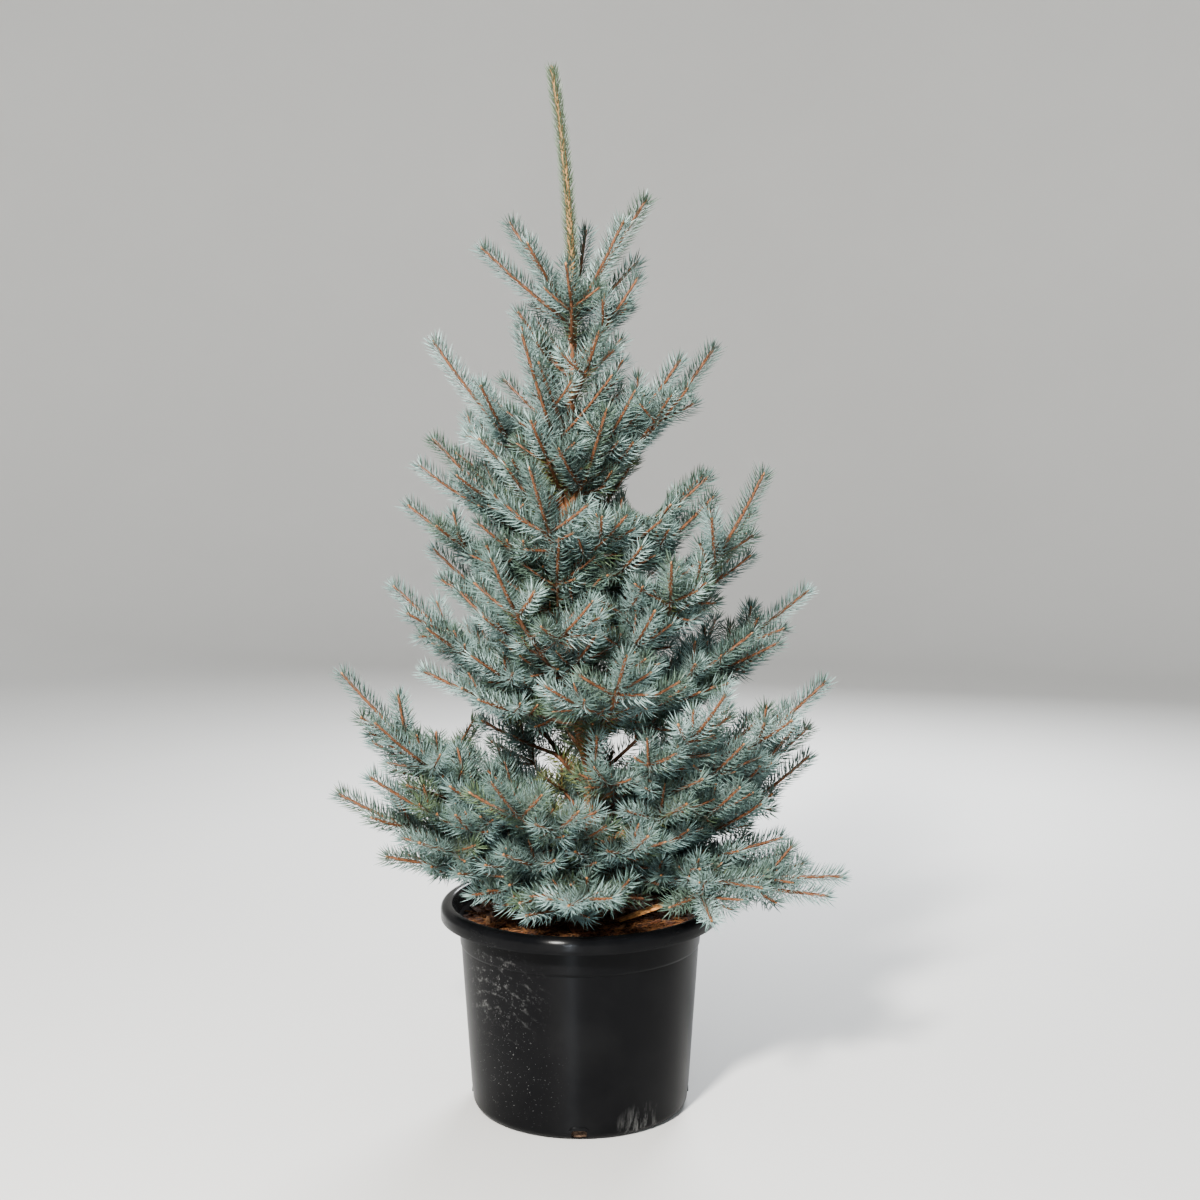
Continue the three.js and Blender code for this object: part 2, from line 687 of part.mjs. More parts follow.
// The leader stands on the trunk's top
const leaderFoot = trunkAt(TRUNK_TOP).add(new THREE.Vector3(0, 0, GAP));
const leaderCurve = new THREE.QuadraticBezierCurve3(
  leaderFoot,
  new THREE.Vector3(...LEADER.bend),
  new THREE.Vector3(...LEADER.tip),
);
const leaderShoot = {
  curve: leaderCurve,
  way: UP,
  length: leaderCurve.getLength(),
  radiusAt: (share) => THREE.MathUtils.lerp(LEADER.foot, LEADER.top, share),
};
const leader = planTwig(leaderShoot, "leader", 0, LEADER);
takeRoom(ballsAlong(leaderCurve, () => LEADER.foot + SKIN), "leader", leader);

// The shoots on the trunk's upper part
for (const shoot of trunkShoots) {
  shoot.radiusAt = (share) => coreRadius(share, shoot) * Math.min(1, SHOOT_FOOT + share);
  const stem = planTwig(shoot, `shoot_${shoot.name}`, 0);
  const clearFrom = (trunkRadius(shoot.height) + 2 * CORE_RADIUS) / shoot.length;
  takeRoom(ballsAlong(shoot.curve, () => CORE_RADIUS + SKIN, clearFrom, 1), stem.owner, stem);
  takeRoom(budBalls(shoot), stem.owner, stem);
  stem.rings[0].bare = true;
  stems.push(stem);
}

// Twigs with room, the main growth first; one with no room is left out with all it carries
const twigs = [...stems];
const waiting = boughs
  .flatMap((bough) => bough.shoots)
  .filter((shoot) => shoot.level <= FINEST_LEVEL && shoot.length > SHORTEST_TWIG);
waiting.sort((a, b) => a.level - b.level || b.years - a.years);
for (const shoot of waiting) {
  const place = placeOf.get(shoot.parent);
  if (!place) continue;
  const from = shoot.goesOn ? 0 : FORK_CLEARANCE / shoot.length;
  const balls = ballsAlong(shoot.curve, () => CORE_RADIUS + SKIN, from, 1).concat(budBalls(shoot));
  const rootBalls = shoot.goesOn ? [] : ballsAlong(shoot.curve, () => ROOT_ROOM, from / 2, from);
  const onCarrier = (other) => other.twig === place.twig;
  const face = shoot.goesOn || faceToward(place.twig, place.ring, shoot.way);
  if (!face || !roomFor(balls, (other) => shoot.goesOn && onCarrier(other))) continue;
  if (!roomFor(rootBalls, onCarrier)) continue;
  let twig = place.twig;
  if (shoot.goesOn) {
    carryOn(twig, shoot);
  } else {
    twig = planTwig(shoot, place.twig.owner, from);
    place.twig.sideTwigs.set(face, twig);
    twigs.push(twig);
  }
  takeRoom([...rootBalls, ...balls], twig.owner, twig);
  placeOf.set(shoot, { twig, ring: twig.rings.length - 2 });
}

fitNeedles(leader);
for (const twig of twigs) fitNeedles(twig);
tree.add(named("leader", toGeometry(twigSolid(leader)), COLOURS.leader, 0.8, leaderFoot));

// A main bough's limb is cut clear of the trunk
function limbSolid({ curve, limbEnd, length }) {
  const limb = bentLimb(
    (share) => curve.getPoint(share * limbEnd),
    (share) => curve.getTangent(share * limbEnd),
    (share) => limbRadius(share * limbEnd),
    LIMB_SIDES,
    Math.max(2, Math.round(length / LIMB_STEP)),
  );
  return toSolid(limb).subtract(trunkRoom);
}

// Each mass, and each shoot on the trunk, is one solid of all its twigs
for (const bough of boughs.filter((each) => each.isMain)) {
  tree.add(named(`bough_${bough.name}`, toGeometry(limbSolid(bough)), COLOURS.bark, 0.9, bough.start));
}
for (const base of [...boughs, ...trunkShoots]) {
  const name = base.shoots ? `mass_${base.name}` : `shoot_${base.name}`;
  const whole = twigSolid(stems.find((twig) => twig.owner === name));
  const solid = base.isMain ? whole : whole.subtract(trunkRoom);
  tree.add(named(name, toGeometry(solid), COLOURS.needles, 0.8, base.start));
}

export default tree;
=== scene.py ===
"""A young blue spruce in a black nursery pot, dressed around its CAD solids. Metres, +Z up."""

import math

import bpy
import numpy as np
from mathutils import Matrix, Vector


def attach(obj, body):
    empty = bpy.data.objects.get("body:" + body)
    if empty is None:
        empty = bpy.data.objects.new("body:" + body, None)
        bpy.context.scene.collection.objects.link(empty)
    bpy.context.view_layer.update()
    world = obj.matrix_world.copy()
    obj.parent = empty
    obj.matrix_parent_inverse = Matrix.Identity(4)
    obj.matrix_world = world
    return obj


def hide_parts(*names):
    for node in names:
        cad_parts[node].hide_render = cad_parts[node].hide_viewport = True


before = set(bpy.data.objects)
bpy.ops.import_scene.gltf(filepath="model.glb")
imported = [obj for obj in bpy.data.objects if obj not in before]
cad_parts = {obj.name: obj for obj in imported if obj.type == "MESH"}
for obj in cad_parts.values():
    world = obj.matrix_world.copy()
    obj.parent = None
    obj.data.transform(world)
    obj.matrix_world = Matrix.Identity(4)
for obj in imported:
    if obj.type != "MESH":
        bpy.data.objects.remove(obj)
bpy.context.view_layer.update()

MM = 0.001
UP = np.array([0.0, 0.0, 1.0])
ALONG_X = np.array([1.0, 0.0, 0.0])
# A unit vector that rises by more than this takes its sides from X, not from up
STEEP = 0.97

# Sizes of the pot and soil, in millimetres as in the part's source
POT_HEIGHT = 365
FOOT_RADIUS = 192
NECK_RADIUS = 214
NECK_HEIGHT = 340
LIP_RADIUS = 245
LIP_DEPTH = 27
MOUTH_RADIUS = 224
WALL = 3.2
FLOOR = 4
FOOT_ROUNDING = 16
STEP_HEIGHT = 291
STEP_DEPTH = 1.6
TAPER = (NECK_RADIUS - FOOT_RADIUS) / NECK_HEIGHT
DRAIN = {"count": 4, "width": 26, "height": 15, "bottom": 3, "corner": 4, "cut": (-34, 30)}
SLOT_RIDGE = {"reach": 16, "height": 24, "drop": 5, "radius": 1.0, "sunk": 0.6}
SLOT_SOIL = {"reach": 15, "low": 2, "high": 20, "outward": 179, "relief": 1.4}
SOIL_TOP = 335
SOIL_DIP = 8
SOIL_RELIEF = 5
MOUND_HEIGHT = 4
MOUND_WIDTH = 60
GAP = 0.3
# The least radius of a turned profile, just off the axis
AXIS = 0.01

# What lies on the soil, in millimetres
CHIPS = {"count": 900, "large": 41, "reach": 205, "size": (6, 20), "large_size": (18, 34)}
WOOD_CHIP = {"place": (100, -24), "long": 92, "wide": 22, "thick": 5, "turn": -0.2, "tilt": (0.42, 0.1)}
LITTER = {"count": 2600, "reach": 203, "edge": 206, "length": (14, 24)}

# The trunk: height, sideways and backward offset of its centre
TRUNK = [
    (335, 22, 0),
    (560, 19, 4),
    (720, -4, 6),
    (890, -32, 4),
    (1060, -26, 0),
    (1220, -14, 0),
    (1400, -11, 0),
]
TRUNK_BOTTOM = TRUNK[0][0] + GAP
TRUNK_TOP = TRUNK[-1][0]
TRUNK_FOOT_RADIUS = 13.5
TRUNK_TOP_RADIUS = 7.4
ROOT_FLARE = 8
ROOT_FLARE_HEIGHT = 26
TRUNK_RINGS = 400
TRUNK_SIDES = 40
COLLAR = {"size": 1.1, "height": 9}
LEADER = {"bend": (-14, 0, 1600), "tip": (-45, 0, 1785), "foot": 6.8, "top": 3.4}

# Boughs by whorl: height on the trunk, azimuth, rise at the trunk, bend up with each length,
# bare limb, length of the first year's shoot past it, years of growth past it
BOUGHS = [
    ("c1", 1085, 186, 38, 15, 140, 195, 1),
    ("c2", 1110, 244, 52, 12, 80, 190, 1),
    ("c3", 1067, 356, 31, 21, 165, 200, 1),
    ("c4", 1040, 310, 46, 12, 85, 140, 1),
    ("c5", 1108, 96, 42, 12, 110, 170, 1),
    ("c6", 985, 172, 30, 12, 130, 160, 1),
    ("d1", 905, 190, 20, 8, 100, 96, 2),
    ("d2", 893, 6, 52, -10, 150, 135, 1),
    ("d3", 900, 268, 30, 12, 90, 115, 2),
    ("d4", 943, 128, 34, 10, 110, 125, 2),
    ("d5", 925, 60, 36, 12, 100, 115, 2),
    ("e1", 690, 176, 24, 6, 100, 88, 3),
    ("e2", 730, 246, 24, 12, 90, 86, 3),
    ("e3", 720, 338, 32, 13, 120, 120, 3),
    ("e4", 745, 84, 28, 9, 100, 92, 3),
    ("e5", 660, 292, 14, 9, 90, 80, 3),
    ("e6", 800, 158, 26, 6, 100, 100, 2),
    ("e7", 770, 12, 24, 8, 95, 110, 2),
    ("f1", 468, 180, 12, 12, 120, 124, 3),
    ("f2", 465, 244, 8, 10, 90, 89, 3),
    ("f3", 540, 312, 18, 10, 95, 90, 3),
    ("f4", 640, 18, 25, 4, 115, 110, 3),
    ("f5", 570, 128, 20, 9, 105, 99, 3),
    ("f6", 434, 200, 9, 8, 110, 96, 3),
    ("f7", 420, 8, 18, 9, 110, 102, 3),
    ("g1", 408, 190, 8, 6, 115, 104, 3),
    ("g2", 396, 266, 6, 1, 85, 67, 3),
    ("g3", 455, 348, 27, 6, 115, 116, 3),
    ("g4", 406, 342, 3, 0, 105, 98, 3),
    ("g5", 440, 66, 12, 8, 105, 96, 3),
    ("g6", 438, 292, 10, 8, 90, 80, 2),
    ("g7", 416, 234, 9, 6, 90, 84, 2),
]

# Shoots that stand straight on the trunk: height, azimuth, rise, bend up, length
TRUNK_SHOOTS = [
    ("a1", 1378, 170, 55, 2, 190),
    ("a2", 1364, 198, 34, 12, 200),
    ("a3", 1380, 236, 36, 14, 170),
    ("a4", 1372, 76, 58, 12, 180),
    ("a5", 1382, 358, 56, 4, 225),
    ("a6", 1370, 316, 52, 6, 195),
    ("a7", 1366, 30, 36, 12, 165),
    ("b1", 1270, 184, 50, 6, 145),
    ("b2", 1300, 134, 36, 10, 110),
    ("b3", 1310, 14, 38, 8, 130),
    ("b4", 1252, 334, 40, 8, 125),
]

# Weak boughs that fill the crown between the whorls, in the same columns as the boughs
WEAK_BOUGHS = [
    ("h1", 880, 350, 24, 10, 110, 106, 2),
    ("h2", 925, 334, 32, 6, 90, 96, 2),
    ("h3", 655, 4, 17, 5, 110, 108, 2),
    ("h4", 410, 354, 20, 10, 110, 98, 3),
    ("h5", 672, 184, 12, 6, 90, 94, 2),
    ("h6", 465, 178, 14, 5, 110, 94, 3),
    ("h7", 1060, 192, 26, 14, 90, 96, 1),
    ("h8", 1095, 354, 32, 14, 80, 98, 2),
    ("h9", 820, 104, 26, 8, 90, 92, 2),
    ("h10", 600, 92, 22, 8, 100, 96, 2),
    ("h11", 440, 112, 14, 8, 110, 92, 3),
    ("h12", 930, 8, 28, 6, 100, 96, 2),
    ("h13", 404, 12, 12, 9, 110, 98, 3),
    ("h14", 400, 192, 5, 3, 110, 78, 3),
    ("h15", 404, 338, 3, -1, 110, 92, 3),
    ("h16", 838, 258, 40, 8, 60, 82, 2),
    ("h17", 396, 44, 6, 6, 90, 84, 2),
    ("h18", 400, 158, 6, 5, 110, 86, 2),
    ("h19", 905, 354, 34, 4, 110, 100, 2),
    ("h20", 800, 352, 30, 6, 110, 104, 2),
    ("h21", 648, 352, 26, 6, 115, 112, 2),
    ("h22", 500, 356, 24, 6, 120, 112, 2),
    ("h23", 404, 352, 8, 4, 120, 104, 2),
    ("h24", 452, 186, 16, 8, 115, 106, 2),
    ("h25", 398, 214, 3, 0, 90, 72, 2),
]

# Growth: how a fan of shoots opens at the end of each length, as in the part's source
SEED = 101
YEARLY_GAIN = 1.12
FAN_SPREAD = 50
FAN_SPREAD_PLAY = 14
AXIS_PLAY = 16
SIDE_LENGTH = 0.78
SIDE_LENGTH_PLAY = 0.3
SIDE_CLIMB = 2.4
SIDE_CLIMB_PLAY = 12
SIDE_SETBACKS = (12, 19)
SIDE_YEARS = 1
LAST_BRANCHING_LEVEL = 1
TOP_SHOOT_CHANCE = 0.6
TOP_SHOOT_LENGTH = 0.5
TOP_SHOOT_LENGTH_PLAY = 0.4
TOP_CLIMB = 43
TOP_CLIMB_PLAY = 14
TOP_TURN_PLAY = 30
TOP_SETBACK = 5

# Finer twigs that this script adds along each length that is more than a year old
FINE_SPACING = 21
FINE_LENGTH = 0.55
FINE_LONGEST = 92
FINE_SPREAD = 54
FINE_SPREAD_PLAY = 14
FINE_CLIMB_PLAY = 64
FINE_BRANCHING_CHANCE = 0.5
LIMB_TWIGS_FROM = 0.45

# Weak twigs on the trunk between the whorls, and low ones that spread over the soil
GOLDEN_ANGLE = 137.5
GOLDEN_SHARE = 0.618
INNER = {"count": 42, "length": 90, "low": 470, "high": 1350, "rise": 28, "rise_play": 18}
SKIRT = {"count": 17, "length": 122, "low": 352, "high": 396, "rise": 5, "rise_play": 14}
SKIRT_GAP = (276, 318)

# Where the soil lies open at the front, as its lowest and highest corner
OPEN_CORNER = ((56, -330, 300), (142, 120, 424))

# How far twigs and needles keep from the pot: in from its mouth, out from its lip, above the
# soil and the lip, and the least height outside it
TWIG_CLEARANCE = {"mouth": 14, "lip": 10, "above": 9, "outside": POT_HEIGHT - 60}
NEEDLE_CLEARANCE = {"mouth": 12, "lip": 2, "above": 1, "outside": 0}

# Gaps through which the front view sees the sky, on the plane of the trunk: sideways, height,
# half the width, half the height
SKY_GAPS = ((116, 1080, 30, 36), (-41, 622, 22, 13), (83, 634, 20, 14), (-232, 694, 40, 24))
TWIG_MARGIN = 7

# Limbs and twigs, in millimetres: radii, and the sides and steps of each skin
LIMB_RADII = (7, 4.2)
WEAK_LIMB_RADII = (4.2, 3.0)
TWIG_RADII = (2.6, 3.3, 3.9, 4.2, 4.4)
LIMB_SKIN = (14, 24)
OLD_TWIG_SKIN = (6, 4)
YOUNG_TWIG_SKIN = (5, 3)

# Buds: stations along each, the radius at each, and the sides of the skin
BUD_STATIONS = (0, 1.4, 3.4, 5.2)
BUD_RADII = (1.8, 2.6, 2.2, 0.8)
BUD_SIDES = 5
LEADER_BUD = ((0, 2, 5, 8, 10), (2.6, 3.6, 3.4, 2, 0.7), 8)
LEADER_SIDE_BUD = ((0, 1.5, 4, 6, 7.5), (1.8, 2.6, 2.4, 1.5, 0.5), 7)

# Needles: how many to a centimetre, by the age of the length that they stand on
NEEDLES_PER_CM = (10.5, 7.8, 5.0, 2.4, 3.2)
MAIN_SHOOT_GAIN = 1.25
TIP_NEEDLES = 12
LARGEST_PIECE = 195000

# One needle, in millimetres; ridge and keel are shares of its half width, the bend of its length
NEEDLE_LENGTH = 29
NEEDLE_HALF_WIDTH = 1.08
NEEDLE_RIDGE = 0.9
NEEDLE_KEEL = 0.45
NEEDLE_BEND = 0.42
LEADER_NEEDLES = {"length": 21, "density": 16.0, "pressed": 0.27}

# How needles stand on a twig: shares of its length, and angles in degrees but for the turn
LIMB_NEEDLES_FROM = 0.3
TWIG_NEEDLES_FROM = 0.02
TIP_NEEDLES_FROM = 0.965
NEEDLE_LEAN = 70
NEEDLE_LEAN_FALL = 12
NEEDLE_LEAN_PLAY = 3.5
TIP_LEAN = (14, 52)
NEEDLE_TURN_PLAY = 0.16
LOWER_NEEDLE_LIFT = 0.3
NEEDLE_CURVE = 0.2
STRAY_SHADE_SHARE = 0.18

# The camera of the photograph, in metres, with its lens in millimetres
FOCAL_LENGTH = 54
SENSOR = 36
CAMERA_PLACE = (0.035, -3.095, 1.238)
CAMERA_PITCH = math.degrees(math.atan(200 / 1800))

# The stage, in millimetres: a floor that bends up into a wall
FLOOR_RADIUS = 5400
FLOOR_BEND = 2600
WALL_TOP = 4600


def seeded_draw(seed):
    """A repeatable random draw between 0 and 1."""
    mask = 0xFFFFFFFF
    state = seed & mask

    def draw():
        nonlocal state
        state = (state + 0x6D2B79F5) & mask
        mixed = ((state ^ (state >> 15)) * (state | 1)) & mask
        mixed ^= (mixed + (mixed ^ (mixed >> 7)) * (mixed | 61)) & mask
        return (mixed ^ (mixed >> 14)) / 4294967296

    return draw


def unit(vector):
    length = np.linalg.norm(vector, axis=-1, keepdims=True)
    return vector / np.where(length > 1e-12, length, 1)


# Growth
def trunk_at(height):
    low, high = TRUNK[0], TRUNK[1]
    for i in range(1, len(TRUNK) - 1):
        if height > TRUNK[i][0]:
            low, high = TRUNK[i], TRUNK[i + 1]
    share = (height - low[0]) / (high[0] - low[0])
    eased = share * share * (3 - 2 * share)
    x = low[1] + (high[1] - low[1]) * eased
    y = low[2] + (high[2] - low[2]) * eased
    return np.array([x, y, height])


def trunk_radius(height):
    share = (height - TRUNK_BOTTOM) / (TRUNK_TOP - TRUNK_BOTTOM)
    flare = ROOT_FLARE * math.exp(-(height - TRUNK_BOTTOM) / ROOT_FLARE_HEIGHT)
    return TRUNK_FOOT_RADIUS + (TRUNK_TOP_RADIUS - TRUNK_FOOT_RADIUS) * share + flare


def heading_for(azimuth, rise):
    turn, climb = math.radians(azimuth), math.radians(rise)
    flat = math.cos(climb)
    return np.array([flat * math.cos(turn), flat * math.sin(turn), math.sin(climb)])


def turned(way, sideways, upwards):
    side = unit(np.cross(way, UP))
    over = np.cross(side, way)
    a, b = math.radians(sideways), math.radians(upwards)
    flat = math.cos(b)
    return unit(way * math.cos(a) * flat + side * math.sin(a) * flat + over * math.sin(b))


class Shoot:
    """One year's length of twig, straight for half of it and then bent up."""

    def __init__(self, start, way, lift, length, years, level):
        self.start, self.way, self.length = start, way, length
        self.years, self.level = years, level
        self.carrier = None
        self.middle = start + way * (length / 2)
        self.end_way = unit(way + UP * math.sin(math.radians(lift)))
        self.end = self.middle + self.end_way * (length / 2)
        self.radii = None

    def at(self, shares):
        t = np.asarray(shares, float)[..., None]
        return (1 - t) ** 2 * self.start + 2 * t * (1 - t) * self.middle + t ** 2 * self.end

    def along(self, shares):
        t = np.asarray(shares, float)[..., None]
        return unit((1 - t) * (self.middle - self.start) + t * (self.end - self.middle))


def grow_fan(shoots, parent, lift, length, years, draw, level):
    """The fan at a shoot's end: the axis goes on, a shoot opens to each side just behind its
    end, and now and then one stands up on top."""

    def play(width):
        return width * (draw() - 0.5)

    def grow(heading, bend, reach, years_left, depth, setback):
        foot = parent.end - parent.end_way * setback
        shoot = Shoot(foot, heading, bend, reach, years_left, depth)
        shoot.carrier = parent
        shoots.append(shoot)
        if years_left > 0:
            grow_fan(shoots, shoot, bend, reach * YEARLY_GAIN, years_left, draw, depth)

    way = parent.end_way
    grow(turned(way, play(AXIS_PLAY), 0), lift, length, years - 1, level, 0)
    for side, setback in zip((-1, 1), SIDE_SETBACKS):
        spread = FAN_SPREAD + play(FAN_SPREAD_PLAY)
        heading = turned(way, side * spread, SIDE_CLIMB + play(SIDE_CLIMB_PLAY))
        reach = length * SIDE_LENGTH * (1 + play(SIDE_LENGTH_PLAY))
        side_years = 0 if level > LAST_BRANCHING_LEVEL else min(years - 1, SIDE_YEARS)
        grow(heading, lift, reach, side_years, level + 1, setback)
    if draw() < TOP_SHOOT_CHANCE:
        climb = TOP_CLIMB + play(TOP_CLIMB_PLAY)
        heading = turned(way, play(TOP_TURN_PLAY), climb)
        reach = length * TOP_SHOOT_LENGTH * (1 + play(TOP_SHOOT_LENGTH_PLAY))
        grow(heading, 0, reach, 0, level + 1, TOP_SETBACK)


def grow_bough(row, seed, radii=LIMB_RADII):
    """A bough's limb, which holds the shoots that grow from its end."""
    name, height, azimuth, rise, lift, limb, length, years = row
    bough = Shoot(trunk_at(height), heading_for(azimuth, rise), lift, limb, years + 1, 0)
    bough.name, bough.radii, bough.shoots = name, radii, []
    grow_fan(bough.shoots, bough, lift, length, years, seeded_draw(seed), 0)
    return bough


def add_fine_twigs(shoots, parent, draw, first=0.2):
    """Short twigs to both sides of a length that is more than a year old."""
    count = int(parent.length * (1 - first) / FINE_SPACING)
    for i in range(count):
        share = first + (1 - first) * (i + 0.3 + 0.4 * draw()) / count
        side = 1 if i % 2 else -1
        spread = side * (FINE_SPREAD + FINE_SPREAD_PLAY * (draw() - 0.5))
        climb = FINE_CLIMB_PLAY * (draw() - 0.5)
        heading = turned(parent.along(share), spread, climb)
        longest = min(FINE_LONGEST, parent.length * FINE_LENGTH)
        reach = longest * (0.66 + 0.5 * draw()) * (0.8 + 0.3 * share)
        years = 1 if parent.years > 1 and draw() < FINE_BRANCHING_CHANCE else 0
        twig = Shoot(parent.at(share), heading, 10, reach, years, parent.level + 1)
        twig.carrier = parent
        shoots.append(twig)
        if years:
            grow_fan(shoots, twig, 8, reach * 0.8, 1, draw, 2)


def clear_of_pot(points, mouth, lip, above, outside):
    """True for points that keep these distances from the soil and the pot."""
    across = np.hypot(points[:, 0], points[:, 1])
    low = np.where(across < MOUTH_RADIUS - mouth, SOIL_TOP + above, POT_HEIGHT + above)
    low = np.where(across > LIP_RADIUS + lip, outside, low)
    return points[:, 2] > low


def in_open_corner(points):
    return np.all((points > OPEN_CORNER[0]) & (points < OPEN_CORNER[1]), axis=1)


def in_sky_gap(points, margin=0):
    """True for points that the front view sees inside one of the gaps."""
    eye = np.array(CAMERA_PLACE) / MM
    flat = eye + (points - eye) * (eye[1] / (eye[1] - points[:, 1]))[:, None]
    inside = np.zeros(len(points), bool)
    for x, z, wide, high in SKY_GAPS:
        across, up = (flat[:, 0] - x) / (wide + margin), (flat[:, 2] - z) / (high + margin)
        inside |= across ** 2 + up ** 2 < 1
    return inside


def with_room(shoots):
    """The shoots that keep clear of the pot, each with the whole run that carries it. A youngest
    shoot also keeps out of the gaps and the open corner."""
    lost = set()
    kept = []
    for shoot in shoots:
        clear = clear_of_pot(shoot.at(np.linspace(0.1, 1, 8)), **TWIG_CLEARANCE).all()
        points = shoot.at(np.linspace(0.2, 1, 6))
        in_gap = (in_sky_gap(points, TWIG_MARGIN) | in_open_corner(points)).any()
        if shoot.carrier in lost or not clear or (shoot.years == 0 and in_gap):
            lost.add(shoot)
        else:
            kept.append(shoot)
    return kept


def grow_tree():
    """Each trunk shoot's and bough's node, with its shoots and, for a bough, its limb."""
    sprays = []
    for name, height, azimuth, rise, lift, length in TRUNK_SHOOTS:
        shoot = Shoot(trunk_at(height), heading_for(azimuth, rise), lift, length, 0, 0)
        sprays.append(("shoot_" + name, [shoot], None))
    for index, row in enumerate(BOUGHS):
        bough = grow_bough(row, SEED + index)
        sprays.append(("mass_" + bough.name, all_twigs(bough, SEED * 7 + index), bough))
    return sprays


def all_twigs(bough, seed):
    """A bough's shoots with the finer twigs added, without those that have no room."""
    draw = seeded_draw(seed)
    shoots = list(bough.shoots)
    for shoot in bough.shoots:
        if shoot.years > 0:
            add_fine_twigs(shoots, shoot, draw)
    add_fine_twigs(shoots, bough, draw, LIMB_TWIGS_FROM)
    return with_room(shoots)


def grow_weak_boughs():
    members = []
    for index, row in enumerate(WEAK_BOUGHS):
        bough = grow_bough(row, SEED * 3 + index, WEAK_LIMB_RADII)
        members.append((None, all_twigs(bough, SEED * 11 + index) + [bough], None))
    return members


def grow_inner_twigs():
    """Weak twigs that stand on the trunk between the whorls."""
    draw = seeded_draw(SEED * 13)
    twigs = []
    for i in range(INNER["count"]):
        height = INNER["low"] + (INNER["high"] - INNER["low"]) * (i + draw()) / INNER["count"]
        azimuth = GOLDEN_ANGLE * i + 40 * draw()
        reach = INNER["length"] * (0.7 + 0.6 * draw())
        heading = heading_for(azimuth, INNER["rise"] + INNER["rise_play"] * draw())
        shoot = Shoot(trunk_at(height), heading, 12, reach, 1, 1)
        twigs.append(shoot)
        grow_fan(twigs, shoot, 10, reach * 0.75, 1, draw, 1)
    return with_room(twigs)


def grow_skirt():
    """Low twigs round the foot of the trunk, all round but for the gap at the front."""
    draw = seeded_draw(SEED * 17)
    turn = 360 - SKIRT_GAP[1] + SKIRT_GAP[0]
    twigs = []
    for i in range(SKIRT["count"]):
        foot = trunk_at(SKIRT["low"] + (SKIRT["high"] - SKIRT["low"]) * draw())
        reach = SKIRT["length"] * (0.8 + 0.4 * draw())
        azimuth = SKIRT_GAP[1] + turn * ((GOLDEN_SHARE * i + 0.05 * draw()) % 1)
        heading = heading_for(azimuth, SKIRT["rise"] + SKIRT["rise_play"] * draw())
        shoot = Shoot(foot, heading, -3, reach, 1, 1)
        twigs.append(shoot)
        grow_fan(twigs, shoot, -2, reach * 0.8, 1, draw, 1)
        add_fine_twigs(twigs, shoot, draw, 0.3)
    return with_room(twigs)


# Meshes from arrays
def add_object(name, data):
    piece = bpy.data.objects.new(name, data)
    bpy.context.scene.collection.objects.link(piece)
    return piece


def mesh_object(name, skin, materials, slots=None, smooth=True):
    """skin: points in millimetres, and triangles; slots gives each triangle's material."""
    points, triangles = skin
    mesh = bpy.data.meshes.new(name)
    mesh.vertices.add(len(points))
    mesh.vertices.foreach_set("co", (np.asarray(points, float) * MM).ravel())
    flat = np.asarray(triangles, np.int32).ravel()
    mesh.loops.add(len(flat))
    mesh.loops.foreach_set("vertex_index", flat)
    mesh.polygons.add(len(flat) // 3)
    mesh.polygons.foreach_set("loop_start", np.arange(0, len(flat), 3, dtype=np.int32))
    for material in materials:
        mesh.materials.append(material)
    if slots is not None:
        mesh.polygons.foreach_set("material_index", np.asarray(slots, np.int32))
    mesh.polygons.foreach_set("use_smooth", np.full(len(flat) // 3, smooth))
    mesh.update(calc_edges=True)
    mesh.validate()
    return add_object(name, mesh)


def join_parts(parts):
    """One array of points and one of triangles from several."""
    points, triangles, offset = [], [], 0
    for part_points, part_triangles in parts:
        points.append(part_points)
        triangles.append(part_triangles + offset)
        offset += len(part_points)
    return np.concatenate(points), np.concatenate(triangles)


def grid_faces(rows, columns, closed=True):
    """Triangles that skin a grid of points row by row, joined round where it is closed."""
    across = np.arange(columns if closed else columns - 1)
    start = np.arange(rows - 1)[:, None] * columns
    low = (start + across).ravel()
    beside = (start + (across + 1) % columns).ravel()
    quads = np.stack([low, beside, beside + columns, low, beside + columns, low + columns], 1)
    return quads.reshape(-1, 3)


def tube(centres, ways, radii, sides, tip=False):
    """A skin round a run of centres, closed at its start, and at its end flat or in a point."""
    across = unit(np.cross(ways, ALONG_X if abs(ways[0][2]) > STEEP else UP))
    over = unit(np.cross(across, ways))
    angles = np.linspace(0, 2 * math.pi, sides, endpoint=False)[None, :, None]
    ring = over[:, None] * np.cos(angles) + across[:, None] * np.sin(angles)
    points = (centres[:, None] + ring * np.asarray(radii)[:, None, None]).reshape(-1, 3)
    end = centres[-1] + ways[-1] * (radii[-1] * (2 if tip else 0))
    points = np.concatenate([points, centres[:1], end[None]])
    foot, top = len(points) - 2, len(points) - 1
    around = np.arange(sides)
    beside = (around + 1) % sides
    last = (len(centres) - 1) * sides
    start_cap = np.stack([np.full(sides, foot), beside, around], 1)
    end_cap = np.stack([np.full(sides, top), around + last, beside + last], 1)
    return points, np.concatenate([grid_faces(len(centres), sides), start_cap, end_cap])


def shoot_tube(shoot):
    if shoot.radii:
        sides, steps = LIMB_SKIN
        radii = np.linspace(*shoot.radii, steps + 1)
    else:
        sides, steps = YOUNG_TWIG_SKIN if shoot.years == 0 else OLD_TWIG_SKIN
        scale = 1 - 0.1 * min(shoot.level, 2)
        radii = np.linspace(TWIG_RADII[shoot.years + 1], TWIG_RADII[shoot.years], steps + 1) * scale
    shares = np.linspace(0, 1, steps + 1)
    return tube(shoot.at(shares), shoot.along(shares), radii, sides, tip=True)


